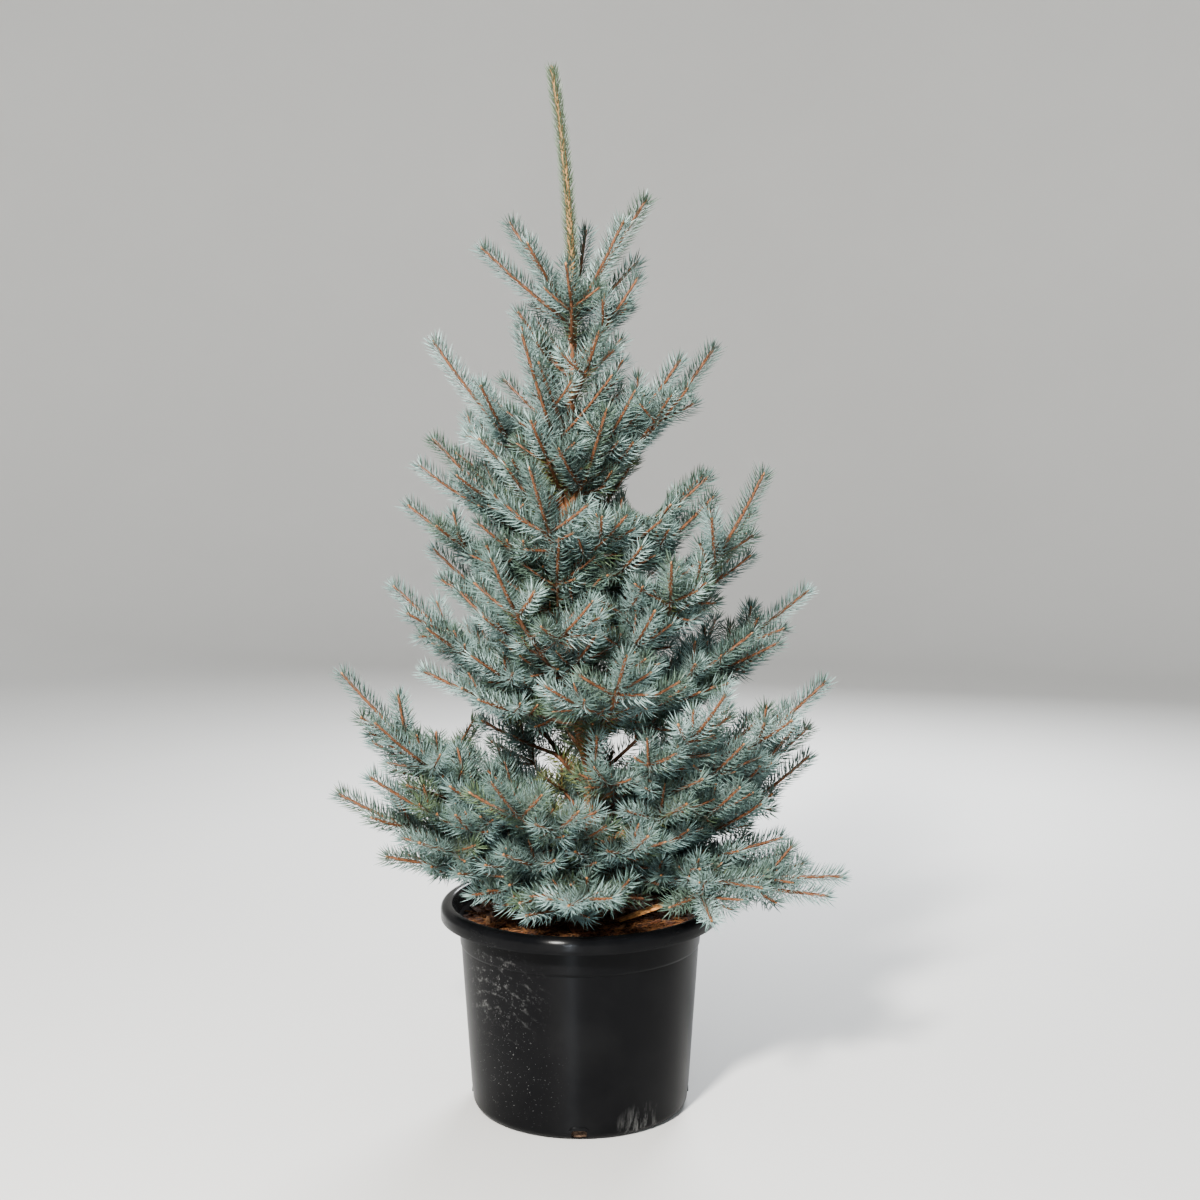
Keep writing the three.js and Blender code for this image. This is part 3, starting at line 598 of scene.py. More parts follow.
# The triangles of a needle, between its foot 0, its three middle corners and its tip 4
NEEDLE_TRIANGLES = np.array([[0, 2, 1], [1, 2, 4], [0, 3, 2], [2, 3, 4], [0, 1, 3], [3, 1, 4]])
# The underside triangles, which take the darker copy of a shade as painted shade
NEEDLE_PAINTED_SHADE_FACES = np.array([0, 0, 1, 1, 0, 0])


def needle_feet(shoot, random, length, density, pressed=0.0):
    """Arrays over a shoot's needles: foot, way at the foot, way at the tip, length."""
    count = int(shoot.length / 10 * density)
    if count < 1:
        return None
    total = count + (TIP_NEEDLES if shoot.years == 0 else 0)
    order = np.arange(total)
    at_tip = order >= count
    first = LIMB_NEEDLES_FROM if shoot.radii else TWIG_NEEDLES_FROM
    shares = first + (1 - first) * (order + random.uniform(0.1, 0.9, total)) / count
    shares = np.where(at_tip, random.uniform(TIP_NEEDLES_FROM, 1.0, total), shares)
    ways = shoot.along(shares)
    across = unit(np.cross(ways, ALONG_X if abs(shoot.way[2]) > STEEP else UP))
    over = np.cross(across, ways)
    angles = order * math.radians(GOLDEN_ANGLE) + random.normal(0, NEEDLE_TURN_PLAY, total)
    outward = over * np.cos(angles)[:, None] + across * np.sin(angles)[:, None]
    lean = NEEDLE_LEAN - NEEDLE_LEAN_FALL * shares ** 2 + random.normal(0, NEEDLE_LEAN_PLAY, total)
    lean = np.where(at_tip, random.uniform(*TIP_LEAN, total), lean)
    lean = np.radians(lean * (1 - pressed))
    below = np.clip(-outward @ UP, 0, 1)
    foot_way = unit(ways * np.cos(lean)[:, None] + outward * np.sin(lean)[:, None])
    foot_way = unit(foot_way + UP * (LOWER_NEEDLE_LIFT * below)[:, None])
    tip_way = unit(foot_way + ways * NEEDLE_CURVE + UP * NEEDLE_CURVE)
    shape = np.where(at_tip, 0.86, 0.8 + 0.22 * np.clip(shares * 6, 0, 1))
    lengths = length * shape * random.uniform(0.93, 1.07, total)
    radius = TWIG_RADII[min(shoot.years, 4)] * 0.6
    return shoot.at(shares) + outward * radius, foot_way, tip_way, lengths


def needle_mesh(feet, foot_ways, tip_ways, lengths, shades):
    """A three-sided, slightly bent spike for each needle, with a ridge on top and flat below.
    Its two upper sides take the upper colour of its shade, and its underside a darker copy of it, which
    is painted shade."""
    count = len(feet)
    over = unit(UP - foot_ways * (foot_ways @ UP)[:, None])
    across = np.cross(foot_ways, over)
    middles = feet + foot_ways * (lengths * NEEDLE_BEND)[:, None]
    tips = middles + tip_ways * (lengths * (1 - NEEDLE_BEND))[:, None]
    points = np.empty((count, 5, 3))
    points[:, 0] = feet
    ridge, keel = over * NEEDLE_RIDGE, -over * NEEDLE_KEEL
    for i, corner in enumerate((ridge, keel - across, keel + across), 1):
        points[:, i] = middles + corner * NEEDLE_HALF_WIDTH
    points[:, 4] = tips
    triangles = (np.arange(count)[:, None, None] * 5 + NEEDLE_TRIANGLES).reshape(-1, 3)
    slots = (shades[:, None] * 2 + NEEDLE_PAINTED_SHADE_FACES).ravel()
    return (points.reshape(-1, 3), triangles), slots


def kept_needles(arrays, shades):
    """The needles that are clear of the pot and the sky gaps, each with its shade."""
    feet, ways, _, lengths = arrays
    tips = feet + ways * lengths[:, None]
    keep = clear_of_pot(tips, **NEEDLE_CLEARANCE) & clear_of_pot(feet, **NEEDLE_CLEARANCE)
    keep &= ~in_sky_gap(tips)
    return [array[keep] for array in (*arrays, shades)]


# Materials
def new_material(name, colour, roughness, **more):
    material = bpy.data.materials.new(name)
    material.use_nodes = True
    shader = material.node_tree.nodes["Principled BSDF"]
    for key, value in {"Base Color": (*colour, 1), "Roughness": roughness, **more}.items():
        shader.inputs[key].default_value = value
    return material, shader


class Graph:
    """Short ways to add nodes to a material; their inputs are values or other nodes' outputs."""

    def __init__(self, material):
        self.tree = material.node_tree
        self.place = self.add("ShaderNodeTexCoord").outputs["Object"]

    def add(self, kind, inputs=(), **settings):
        node = self.tree.nodes.new(kind)
        for key, value in settings.items():
            setattr(node, key, value)
        for key, value in dict(inputs).items():
            self.link(value, node.inputs[key])
        return node

    def link(self, source, target):
        if isinstance(source, bpy.types.NodeSocket):
            self.tree.links.new(source, target)
        else:
            target.default_value = source

    def scaled(self, x, y, z):
        inputs = {"Scale": (x, y, z), "Vector": self.place}
        return self.add("ShaderNodeMapping", inputs).outputs["Vector"]

    def noise(self, scale, detail=4, roughness=0.55, vector=None):
        inputs = {"Scale": scale, "Detail": detail, "Roughness": roughness}
        inputs["Vector"] = vector or self.place
        return self.add("ShaderNodeTexNoise", inputs).outputs["Fac"]

    def height(self):
        return self.add("ShaderNodeSeparateXYZ", {"Vector": self.place}).outputs["Z"]

    def scratches(self, scale, distortion):
        """Thin wandering lines that run down to the right across the front."""
        inputs = {"Scale": scale, "Distortion": distortion, "Detail": 4, "Vector": self.place}
        wave = self.add("ShaderNodeTexWave", inputs, bands_direction="DIAGONAL")
        return self.map(wave.outputs["Fac"], 0.8, 1.0)

    def ramp(self, value, *stops):
        node = self.add("ShaderNodeValToRGB", {"Fac": value})
        elements = node.color_ramp.elements
        while len(elements) < len(stops):
            elements.new(0.5)
        for element, (position, colour) in zip(elements, stops):
            element.position = position
            element.color = (*colour, 1)
        return node.outputs["Color"]

    def map(self, value, low, high, to_low=0.0, to_high=1.0):
        inputs = enumerate((value, low, high, to_low, to_high))
        return self.add("ShaderNodeMapRange", inputs).outputs["Result"]

    def math(self, operation, a, b):
        node = self.add("ShaderNodeMath", enumerate((a, b)), operation=operation)
        return node.outputs["Value"]

    def mix(self, share, first, second):
        inputs = {"Factor": share, "A": (*first, 1), "B": (*second, 1)}
        return self.add("ShaderNodeMix", inputs, data_type="RGBA").outputs["Result"]

    def near(self, point, inner, outer):
        """1 within the inner distance of a point, 0 past the outer one."""
        inputs = enumerate((self.place, point))
        node = self.add("ShaderNodeVectorMath", inputs, operation="DISTANCE")
        return self.map(node.outputs["Value"], inner, outer, 1.0, 0.0)

    def bump(self, shader, height, strength, distance):
        inputs = {"Strength": strength, "Distance": distance, "Height": height}
        self.link(self.add("ShaderNodeBump", inputs).outputs["Normal"], shader.inputs["Normal"])


# Needle shades: the colour of the two upper faces, and a darker one painted as shade on the underside
NEEDLE_SHADES = {
    "silver": ((0.310, 0.430, 0.411), (0.096, 0.139, 0.112)),
    "blue": ((0.194, 0.289, 0.274), (0.062, 0.096, 0.076)),
    "steel": ((0.122, 0.190, 0.170), (0.043, 0.073, 0.058)),
    "sea": ((0.098, 0.154, 0.116), (0.035, 0.060, 0.038)),
    "green": ((0.089, 0.132, 0.067), (0.032, 0.055, 0.023)),
    "moss": ((0.116, 0.136, 0.041), (0.045, 0.061, 0.016)),
    "leader": ((0.15, 0.21, 0.14), (0.06, 0.09, 0.05)),
}
SHADE_NAMES = list(NEEDLE_SHADES)
# The chance of each shade, in that order, by the age and place of a spray
SHADE_CHANCES = {
    "old": (0.0, 0.04, 0.1, 0.3, 0.4, 0.16, 0),
    "heart": (0.0, 0.12, 0.22, 0.28, 0.28, 0.1, 0),
    "inner": (0.03, 0.22, 0.29, 0.28, 0.13, 0.05, 0),
    # Young sprays low on the crown take fewer silver and more dark shades: painted shade on the lower
    # crown
    "low": (0.06, 0.32, 0.34, 0.24, 0.04, 0.0, 0),
    "outer": (0.2, 0.4, 0.25, 0.15, 0.0, 0.0, 0),
}
INNER_REACH = 130
INNER_TOP = 1150
HEART = (540, 740)
LOW_PAINTED_SHADE_TOP = 720

# Marks on the pot, in metres: middle, and the distances within which they are whole and past
# which there are none
SCUFFED = ((-0.146, -0.144, 0.25), 0.02, 0.12)
RUBBED = ((0.106, -0.162, 0.002), 0.0, 0.06)
SPECKLED = ((-0.12, -0.15, 0.11), 0.02, 0.12)
PLASTIC = (0.0045, 0.0047, 0.0055)
WORN_PLASTIC = (0.42, 0.42, 0.41)

# Soil and chips: pale and dark colour
COMPOST = ((0.16, 0.068, 0.034), (0.02, 0.01, 0.006))
# The soil in the drain slots is paler than the compost: painted light where the wall shades it
SLOT_COMPOST_PAINTED_LIGHT = ((0.16, 0.1, 0.065), (0.03, 0.018, 0.012))
CHIP_SKINS = {
    "chip_dark": ((0.13, 0.055, 0.03), (0.03, 0.013, 0.008)),
    "chip_red": ((0.24, 0.09, 0.04), (0.07, 0.025, 0.012)),
    "chip_pale": ((0.34, 0.2, 0.11), (0.12, 0.06, 0.03)),
    # The wood chip's orange is partly its own colour and partly painted light, made paler so it shows
    # bright in shade
    "chip_orange": ((0.85, 0.46, 0.2), (0.55, 0.24, 0.09)),
}

# Bark: pale and dark colour, and how fine it is
TRUNK_BARK = ((0.36, 0.16, 0.07), (0.09, 0.04, 0.022), 190)
LIMB_BARK = ((0.3, 0.14, 0.06), (0.1, 0.05, 0.03), 260)
LEADER_BARK = ((0.38, 0.22, 0.1), (0.2, 0.13, 0.06), 230)
TWIG_COLOURS = ((0.19, 0.08, 0.037), (0.165, 0.073, 0.036), (0.12, 0.058, 0.032))


def needle_materials():
    materials = []
    for name, colours in NEEDLE_SHADES.items():
        # The second colour is painted shade: a darker copy for the needle's underside
        for part, colour in zip(("upper", "lower"), colours):
            skin, _ = new_material(f"needle_{name}_{part}", colour, 0.5, **{"Sheen Weight": 0.15})
            materials.append(skin)
    return materials


def bark_material(name, pale, dark, scale):
    material, shader = new_material(name, pale, 0.85)
    graph = Graph(material)
    flakes = graph.noise(scale, 6, 0.65, graph.scaled(1, 1, 0.45))
    patches = graph.math("MULTIPLY", graph.noise(scale * 0.22, 3), 0.3)
    mixed = graph.math("ADD", graph.math("MULTIPLY", flakes, 0.7), patches)
    middle = tuple((a + b) / 2 for a, b in zip(pale, dark))
    colour = graph.ramp(mixed, (0.38, dark), (0.5, middle), (0.62, pale))
    graph.link(colour, shader.inputs["Base Color"])
    graph.link(graph.map(flakes, 0.3, 0.7, 0.95, 0.7), shader.inputs["Roughness"])
    graph.bump(shader, flakes, 0.6, 0.0012)
    return material


def pot_wear(graph, cloud, streaks):
    """How worn the plastic is: scuffs, a rubbed place, specks and a thin film."""
    scuffed, rubbed, speckled = (graph.near(*mark) for mark in (SCUFFED, RUBBED, SPECKLED))
    lines = graph.math("MULTIPLY", graph.scratches(30, 5), graph.map(streaks, 0.48, 0.72, 0.0, 0.4))
    smears = graph.map(streaks, 0.57, 0.77, 0.0, 0.5)
    marks = graph.math("MULTIPLY", scuffed, graph.math("MAXIMUM", lines, smears))
    runs = graph.noise(95, 5, 0.7, graph.scaled(1, 1, 0.16))
    rub = graph.math("MULTIPLY", rubbed, graph.map(runs, 0.5, 0.76, 0.0, 0.7))
    specks = graph.map(graph.noise(420, 2, 0.5), 0.695, 0.75)
    dots = graph.math("MULTIPLY", graph.math("MAXIMUM", speckled, scuffed), specks)
    film = graph.math("MULTIPLY", graph.map(cloud, 0.45, 0.75), 0.01)
    return graph.math("MAXIMUM", graph.math("MAXIMUM", marks, rub), graph.math("MAXIMUM", dots, film))


def pot_material():
    gloss = {"Specular IOR Level": 0.14, "Anisotropic": 0.85, "Anisotropic Rotation": 0.25}
    material, shader = new_material("pot_plastic", PLASTIC, 0.34, **gloss)
    graph = Graph(material)
    around = graph.add("ShaderNodeTangent", direction_type="RADIAL", axis="Z")
    graph.link(around.outputs["Tangent"], shader.inputs["Tangent"])
    grain = graph.noise(340, 3)
    cloud = graph.noise(9, 4)
    streaks = graph.noise(75, 7, 0.76)
    wear = pot_wear(graph, cloud, streaks)
    graph.link(graph.mix(wear, PLASTIC, WORN_PLASTIC), shader.inputs["Base Color"])
    rim = graph.map(graph.height(), 0.336, 0.342, 0.0, -0.1)
    smooth = graph.math("ADD", graph.map(cloud, 0.3, 0.7, 0.31, 0.38), rim)
    rough = graph.math("ADD", smooth, graph.math("MULTIPLY", wear, 0.4))
    graph.link(rough, shader.inputs["Roughness"])
    graph.bump(shader, graph.math("ADD", grain, graph.math("MULTIPLY", streaks, 0.6)), 0.12, 0.0006)
    return material


def soil_material(name, pale, dark):
    material, shader = new_material(name, pale, 0.95)
    graph = Graph(material)
    crumbs = graph.noise(150, 6, 0.7)
    graph.link(graph.ramp(crumbs, (0.35, dark), (0.68, pale)), shader.inputs["Base Color"])
    graph.link(graph.map(crumbs, 0.3, 0.7, 1.0, 0.8), shader.inputs["Roughness"])
    graph.bump(shader, crumbs, 0.9, 0.003)
    return material


# The pot
def wall_radius(height):
    """The wall's outer radius, which steps out under the lip."""
    step = 0 if height > STEP_HEIGHT else STEP_DEPTH
    return FOOT_RADIUS + TAPER * height - step


def arc(centre, radius, start, end, steps):
    """Points of a round corner in the profile: angles in degrees, 0 outward and 90 up."""
    angles = np.radians(np.linspace(start, end, steps))
    return [(centre[0] + radius * math.cos(a), centre[1] + radius * math.sin(a)) for a in angles]


def turned_skin(profile, segments):
    """A skin turned about the upright axis from a profile of (radius, height)."""
    profile = np.array(profile, float)
    angles = np.linspace(0, 2 * math.pi, segments, endpoint=False)
    points = np.empty((len(profile), segments, 3))
    points[..., 0] = profile[:, :1] * np.cos(angles)
    points[..., 1] = profile[:, :1] * np.sin(angles)
    points[..., 2] = profile[:, 1:]
    return points.reshape(-1, 3), grid_faces(len(profile), segments)


def pot_profile():
    """From the middle of the underside up the wall, over the lip and down inside to the floor."""
    inner_top = POT_HEIGHT - WALL
    skirt = LIP_RADIUS - WALL
    lip_bottom = POT_HEIGHT - LIP_DEPTH
    foot = FOOT_RADIUS - FOOT_ROUNDING - STEP_DEPTH
    points = [(AXIS, 7), (60, 7), (66, 1.5), (foot - 12, 1.5), (foot - 8, 0)]
    points += arc((foot, FOOT_ROUNDING), FOOT_ROUNDING, -90, 2, 9)
    wall = [*range(40, STEP_HEIGHT, 50), STEP_HEIGHT - 1.5, STEP_HEIGHT]
    points += [(wall_radius(height), height) for height in wall]
    points += [(wall_radius(STEP_HEIGHT + 2) - 0.3, STEP_HEIGHT + 1.6)]
    points += [(wall_radius(STEP_HEIGHT + 4), STEP_HEIGHT + 4)]
    points += [(NECK_RADIUS - 1, NECK_HEIGHT - 14), (NECK_RADIUS, NECK_HEIGHT)]
    points += arc((MOUTH_RADIUS + 6, inner_top - 6), 6, 170, 90, 5)
    points += arc((skirt - 9, inner_top - 9), 9, 90, 0, 6)
    points += [(skirt, lip_bottom + 2), (skirt + 0.8, lip_bottom)]
    points += [(LIP_RADIUS - 0.8, lip_bottom), (LIP_RADIUS, lip_bottom + 1.5)]
    points += [(LIP_RADIUS, lip_bottom + 8)]
    points += arc((LIP_RADIUS - 12, POT_HEIGHT - 12), 12, 0, 90, 9)
    points += arc((MOUTH_RADIUS + 5, POT_HEIGHT - 5), 5, 90, 175, 6)
    points += [(NECK_RADIUS - WALL + 1, NECK_HEIGHT), (NECK_RADIUS - WALL - 2, NECK_HEIGHT - 30)]
    points += [(FOOT_RADIUS - WALL - STEP_DEPTH - 2, FLOOR + 6)]
    points += [(FOOT_RADIUS - 14, FLOOR + 5), (AXIS, FLOOR + 5)]
    return points


def slot_turns():
    """The direction of each drain slot, with the first at the front."""
    return [i / DRAIN["count"] * 2 * math.pi - math.pi / 2 for i in range(DRAIN["count"])]


def make_pot(material):
    pot = mesh_object("pot_shell", turned_skin(pot_profile(), 192), [material])
    for turn in slot_turns():
        cut_slot(pot, turn)
    bevel_shade(pot, 40)
    return pot


def cut_slot(pot, turn):
    """A drain slot with round corners, cut right through the wall."""
    width, height = DRAIN["width"] / 2, DRAIN["height"] / 2
    corner = DRAIN["corner"]
    outline = []
    for start, (x, z) in zip((0, 90, 180, 270), ((1, 1), (-1, 1), (-1, -1), (1, -1))):
        outline += arc((x * (width - corner), z * (height - corner)), corner, start, start + 90, 5)
    middle = DRAIN["bottom"] + height
    near, far = DRAIN["cut"]
    points = np.array([(FOOT_RADIUS + end, x, z + middle) for end in (near, far) for x, z in outline])
    cosine, sine = math.cos(turn), math.sin(turn)
    points = points @ np.array([[cosine, -sine, 0], [sine, cosine, 0], [0, 0, 1]]).T
    count = len(outline)
    faces = grid_faces(2, count).tolist()
    for i in range(1, count - 1):
        faces += [(0, i + 1, i), (count, count + i, count + i + 1)]
    cutter = mesh_object("slot_cutter", (points, faces), [], smooth=False)
    boolean = pot.modifiers.new("slot", "BOOLEAN")
    boolean.operation = "DIFFERENCE"
    boolean.solver = "EXACT"
    boolean.object = cutter
    apply_modifiers(pot)
    bpy.data.objects.remove(cutter)


def around_slots(place):
    """Points (across, outward, height) of one drain slot, turned to each of the slots."""
    across, outward, height = np.asarray(place, float).T
    for slot_turn in slot_turns():
        turn = slot_turn + across / outward
        yield np.stack([outward * np.cos(turn), outward * np.sin(turn), height], 1)


def make_slot_ridges(material):
    """The low moulded line over each drain slot."""
    across = np.linspace(-SLOT_RIDGE["reach"], SLOT_RIDGE["reach"], 13)
    height = SLOT_RIDGE["height"] - SLOT_RIDGE["drop"] * (np.abs(across) / SLOT_RIDGE["reach"]) ** 6
    outward = np.full(len(across), wall_radius(SLOT_RIDGE["height"]) - SLOT_RIDGE["sunk"])
    parts = []
    for centres in around_slots(np.stack([across, outward, height], 1)):
        ways = unit(np.gradient(centres, axis=0))
        parts.append(tube(centres, ways, np.full(len(centres), SLOT_RIDGE["radius"]), 8))
    return mesh_object("slot_ridges", join_parts(parts), [material])


def make_slot_soil(material):
    """Soil that fills each drain slot behind the wall."""
    columns, rows = 15, 10
    width = np.linspace(-SLOT_SOIL["reach"], SLOT_SOIL["reach"], columns)
    across, height = np.meshgrid(width, np.linspace(SLOT_SOIL["low"], SLOT_SOIL["high"], rows))
    outward = SLOT_SOIL["outward"] + SLOT_SOIL["relief"] * uneven(across, height, 12, 12)
    place = np.stack([across, outward, height], -1).reshape(-1, 3)
    faces = grid_faces(rows, columns, closed=False)
    skin = join_parts([(points, faces) for points in around_slots(place)])
    return mesh_object("slot_soil", skin, [material])


def apply_modifiers(piece):
    graph = bpy.context.evaluated_depsgraph_get()
    done = bpy.data.meshes.new_from_object(piece.evaluated_get(graph))
    piece.modifiers.clear()
    piece.data = done


def bevel_shade(piece, degrees):
    """Smooth shading, but for the edges sharper than this."""
    piece.data.polygons.foreach_set("use_smooth", np.full(len(piece.data.polygons), True))
    piece.data.set_sharp_from_angle(angle=math.radians(degrees))


# The soil
def uneven(x, y, seed, size):
    """Smooth unevenness over a plane, mostly between -1 and 1, from seeded waves."""
    random = np.random.default_rng(seed)
    height = np.zeros(np.shape(x))
    for octave in range(5):
        wave = 2 * math.pi / size * 1.9 ** octave
        for _ in range(4):
            turn, shift = random.uniform(0, 2 * math.pi, 2)
            height += np.sin((x * math.cos(turn) + y * math.sin(turn)) * wave + shift) * 0.6 ** octave
    return height / 6


def soil_height(x, y):
    """Height of the soil's surface, a little higher round the trunk."""
    mound = MOUND_HEIGHT * np.exp(-((x - TRUNK[0][1]) ** 2 + y ** 2) / MOUND_WIDTH ** 2)
    return SOIL_TOP - SOIL_DIP + mound + SOIL_RELIEF * uneven(x, y, 3, 90)


def make_soil(material):
    foot = FOOT_RADIUS - WALL - STEP_DEPTH - 3
    edge = foot + TAPER * (SOIL_TOP - 10 - FLOOR) - 1
    profile = [(AXIS, FLOOR + 6), (foot - 10, FLOOR + 6), (foot, FLOOR + 14), (edge, SOIL_TOP - 12)]
    profile += [(edge * math.sqrt(share), SOIL_TOP) for share in np.linspace(0.995, 0.0002, 90)]
    points, faces = turned_skin(profile, 200)
    top = points[:, 2] > SOIL_TOP - 1
    points[top, 2] = soil_height(points[top, 0], points[top, 1])
    return mesh_object("soil_bed", (points, faces), [material])


def make_chips(materials):
    """Bark chips that lie on the soil, each a bent flake, with one large wood chip."""
    random = np.random.default_rng(21)
    parts, slots = [], []
    for i in range(CHIPS["count"]):
        across = CHIPS["reach"] * math.sqrt(random.uniform(0.003, 1))
        turn = random.uniform(0, 2 * math.pi)
        size = CHIPS["large_size"] if i < CHIPS["large"] else CHIPS["size"]
        long = random.uniform(*size)
        wide, thick = long * random.uniform(0.3, 0.6), random.uniform(1.2, 3)
        place = (across * math.cos(turn), across * math.sin(turn))
        parts.append(chip(random, place, long, wide, thick))
        slots.append(np.full(len(parts[-1][1]), random.choice([0, 0, 0, 1, 1, 2])))
    parts.append(chip(random, **WOOD_CHIP))
    slots.append(np.full(len(parts[-1][1]), 3))
    slots = np.concatenate(slots)
    return mesh_object("bark_chips", join_parts(parts), materials, slots, smooth=False)


def chip(random, place, long, wide, thick, turn=None, tilt=None):
    """A flake that bends along its length; its turn and tilt are random unless they are given."""
    steps = 5
    turn = random.uniform(0, 2 * math.pi) if turn is None else turn
    bend = random.uniform(-0.15, 0.3) * long
    outline = []
    for i in range(steps):
        share = i / (steps - 1)
        swell = 0.45 + 0.55 * math.sin(math.pi * (0.15 + 0.7 * share))
        half = wide / 2 * swell * random.uniform(0.85, 1.15)
        lift = bend * (share - 0.5) ** 2
        along = (share - 0.5) * long
        for side, level in ((-half, 0), (half, 0), (half * 0.8, thick), (-half * 0.8, thick)):
            outline.append((along, side * random.uniform(0.85, 1.15), level + lift))
    points = np.array(outline)
    tilt = random.normal(0, 0.22, 2) if tilt is None else tilt
    points[:, 2] += points[:, 0] * tilt[0] + points[:, 1] * tilt[1]
    spin = np.array([[math.cos(turn), -math.sin(turn)], [math.sin(turn), math.cos(turn)]])
    points[:, :2] = points[:, :2] @ spin.T + np.array(place)
    points[:, 2] += soil_height(*place) + long * max(0, tilt[0] - 0.3) + random.uniform(-1, 1.5)
    faces = []
    for i in range(steps - 1):
        for side in range(4):
            a, b = i * 4 + side, i * 4 + (side + 1) % 4
            faces += [(a, a + 4, b + 4), (a, b + 4, b)]
    last = (steps - 1) * 4
    faces += [(0, 1, 2), (0, 2, 3), (last, last + 2, last + 1), (last, last + 3, last + 2)]
    return points, np.array(faces)


def make_litter(material):
    """Dead needles on the soil."""
    random = np.random.default_rng(8)
    count = LITTER["count"]
    across = LITTER["reach"] * np.sqrt(random.uniform(0.004, 1, count))
    turn = random.uniform(0, 2 * math.pi, count)
    feet = np.stack([across * np.cos(turn), across * np.sin(turn), np.zeros(count)], 1)
    feet[:, 2] = soil_height(feet[:, 0], feet[:, 1]) + random.uniform(0.5, 4.5, count)
    lie = random.uniform(0, 2 * math.pi, count)
    ways = unit(np.stack([np.cos(lie), np.sin(lie), random.normal(0, 0.12, count)], 1))
    bent = unit(ways + random.normal(0, 0.12, (count, 3)))
    lengths = random.uniform(*LITTER["length"], count)
    tips = feet + ways * lengths[:, None]
    keep = np.hypot(tips[:, 0], tips[:, 1]) < LITTER["edge"]
    arrays = [array[keep] for array in (feet, ways, bent, lengths)]
    skin, _ = needle_mesh(*arrays, np.zeros(int(keep.sum()), int))
    return mesh_object("dead_needles", skin, [material], smooth=False)


# The trunk and limbs
def make_trunk(material):
    """Bark with a seeded relief, and a low collar where each bough stands."""
    heights = np.linspace(TRUNK_BOTTOM, TRUNK_TOP, TRUNK_RINGS)
    centres = np.array([trunk_at(height) for height in heights])
    radii = np.array([trunk_radius(height) for height in heights])
    points, faces = tube(centres, np.tile(UP, (TRUNK_RINGS, 1)), radii, TRUNK_SIDES)
    ring = np.arange(TRUNK_RINGS * TRUNK_SIDES)
    angle = (ring % TRUNK_SIDES) / TRUNK_SIDES * 2 * math.pi
    height = np.repeat(heights, TRUNK_SIDES)
    relief = uneven(angle * 14, height * 0.35, 5, 16) * 0.7 + uneven(angle * 30, height, 6, 9) * 0.35
    collars = np.zeros(len(ring))
    for row in BOUGHS:
        collars += COLLAR["size"] * np.exp(-((height - row[1]) / COLLAR["height"]) ** 2)
    outward = unit(points[ring] - np.repeat(centres, TRUNK_SIDES, 0))
    points[ring] += outward * (relief + collars - 0.4)[:, None]
    points[:, 2] = np.clip(points[:, 2], TRUNK_BOTTOM, None)
    return mesh_object("trunk_bark", (points, faces), [material])


def roughen(points, seed, size):
    """Moves points a little by seeded waves, for bark on limbs."""
    shift = uneven(points[:, 0] + points[:, 2], points[:, 1] - points[:, 2], seed, 14) * size
    return points + shift[:, None] * np.array([0.5, 0.5, 0.7])


def make_limbs(boughs, material):
    points, faces = join_parts([shoot_tube(bough) for bough in boughs])
    return mesh_object("bough_limbs", (roughen(points, 9, 0.8), faces), [material])


# Foliage
def shade_for(shoot, random):
    """A spray's shade: mostly silver and blue on the youngest, and green on the oldest."""
    height = shoot.end[2]
    inner = math.hypot(shoot.end[0], shoot.end[1]) < INNER_REACH and height < INNER_TOP
    if shoot.years >= 2 or (shoot.years == 1 and inner):
        kind = "old"
    elif inner and HEART[0] < height < HEART[1]:
        kind = "heart"
    elif shoot.years == 1 or inner:
        kind = "inner"
    # Below this height young sprays take darker shades as painted shade
    elif height < LOW_PAINTED_SHADE_TOP:
        kind = "low"
    else:
        kind = "outer"
    return int(random.choice(len(SHADE_NAMES), p=SHADE_CHANCES[kind]))


def gather_needles(shoots, random):
    """The needles of these shoots, most of them in their own shoot's shade."""
    found = []
    for shoot in shoots:
        density = NEEDLES_PER_CM[min(shoot.years, 4)]
        density *= MAIN_SHOOT_GAIN if shoot.level == 0 and shoot.years == 0 else 1
        arrays = needle_feet(shoot, random, NEEDLE_LENGTH, density)
        if arrays is None:
            continue
        shades = np.full(len(arrays[0]), shade_for(shoot, random))
        other = random.uniform(size=len(shades)) < STRAY_SHADE_SHARE
        shades[other] = shade_for(shoot, random)
        found.append(kept_needles(arrays, shades))
    return [np.concatenate(columns) for columns in zip(*found)]


def bud_tube(foot, way, stations, radii, sides):
    """A bud's skin, with these radii at these distances from its foot."""
    centres = foot + way * np.array(stations)[:, None]
    return tube(centres, np.tile(way, (len(stations), 1)), np.array(radii), sides, tip=True)


def make_buds(shoots, material, name):
    """A small scaly bud at the tip of each of the youngest shoots."""
    parts = []
    for shoot in shoots:
        if shoot.years == 0:
            radii = np.array(BUD_RADII) * (0.85 if shoot.level > 1 else 1.05)
            parts.append(bud_tube(shoot.end, shoot.end_way, BUD_STATIONS, radii, BUD_SIDES))
    return mesh_object(name, join_parts(parts), [material])


def make_twigs(shoots, materials, name):
    parts = [shoot_tube(shoot) for shoot in shoots]
    oldest = len(materials) - 1
    slots = [np.full(len(part[1]), min(shoot.years, oldest)) for part, shoot in zip(parts, shoots)]
    return mesh_object(name, join_parts(parts), materials, np.concatenate(slots))


def leader_shoot():
    start = trunk_at(TRUNK_TOP)
    shoot = Shoot(start, UP, 0, 1, 0, 0)
    shoot.middle, shoot.end = np.array(LEADER["bend"], float), np.array(LEADER["tip"], float)
    shoot.length = float(np.linalg.norm(shoot.end - start))
    shoot.end_way = unit(shoot.end - shoot.middle)
    return shoot


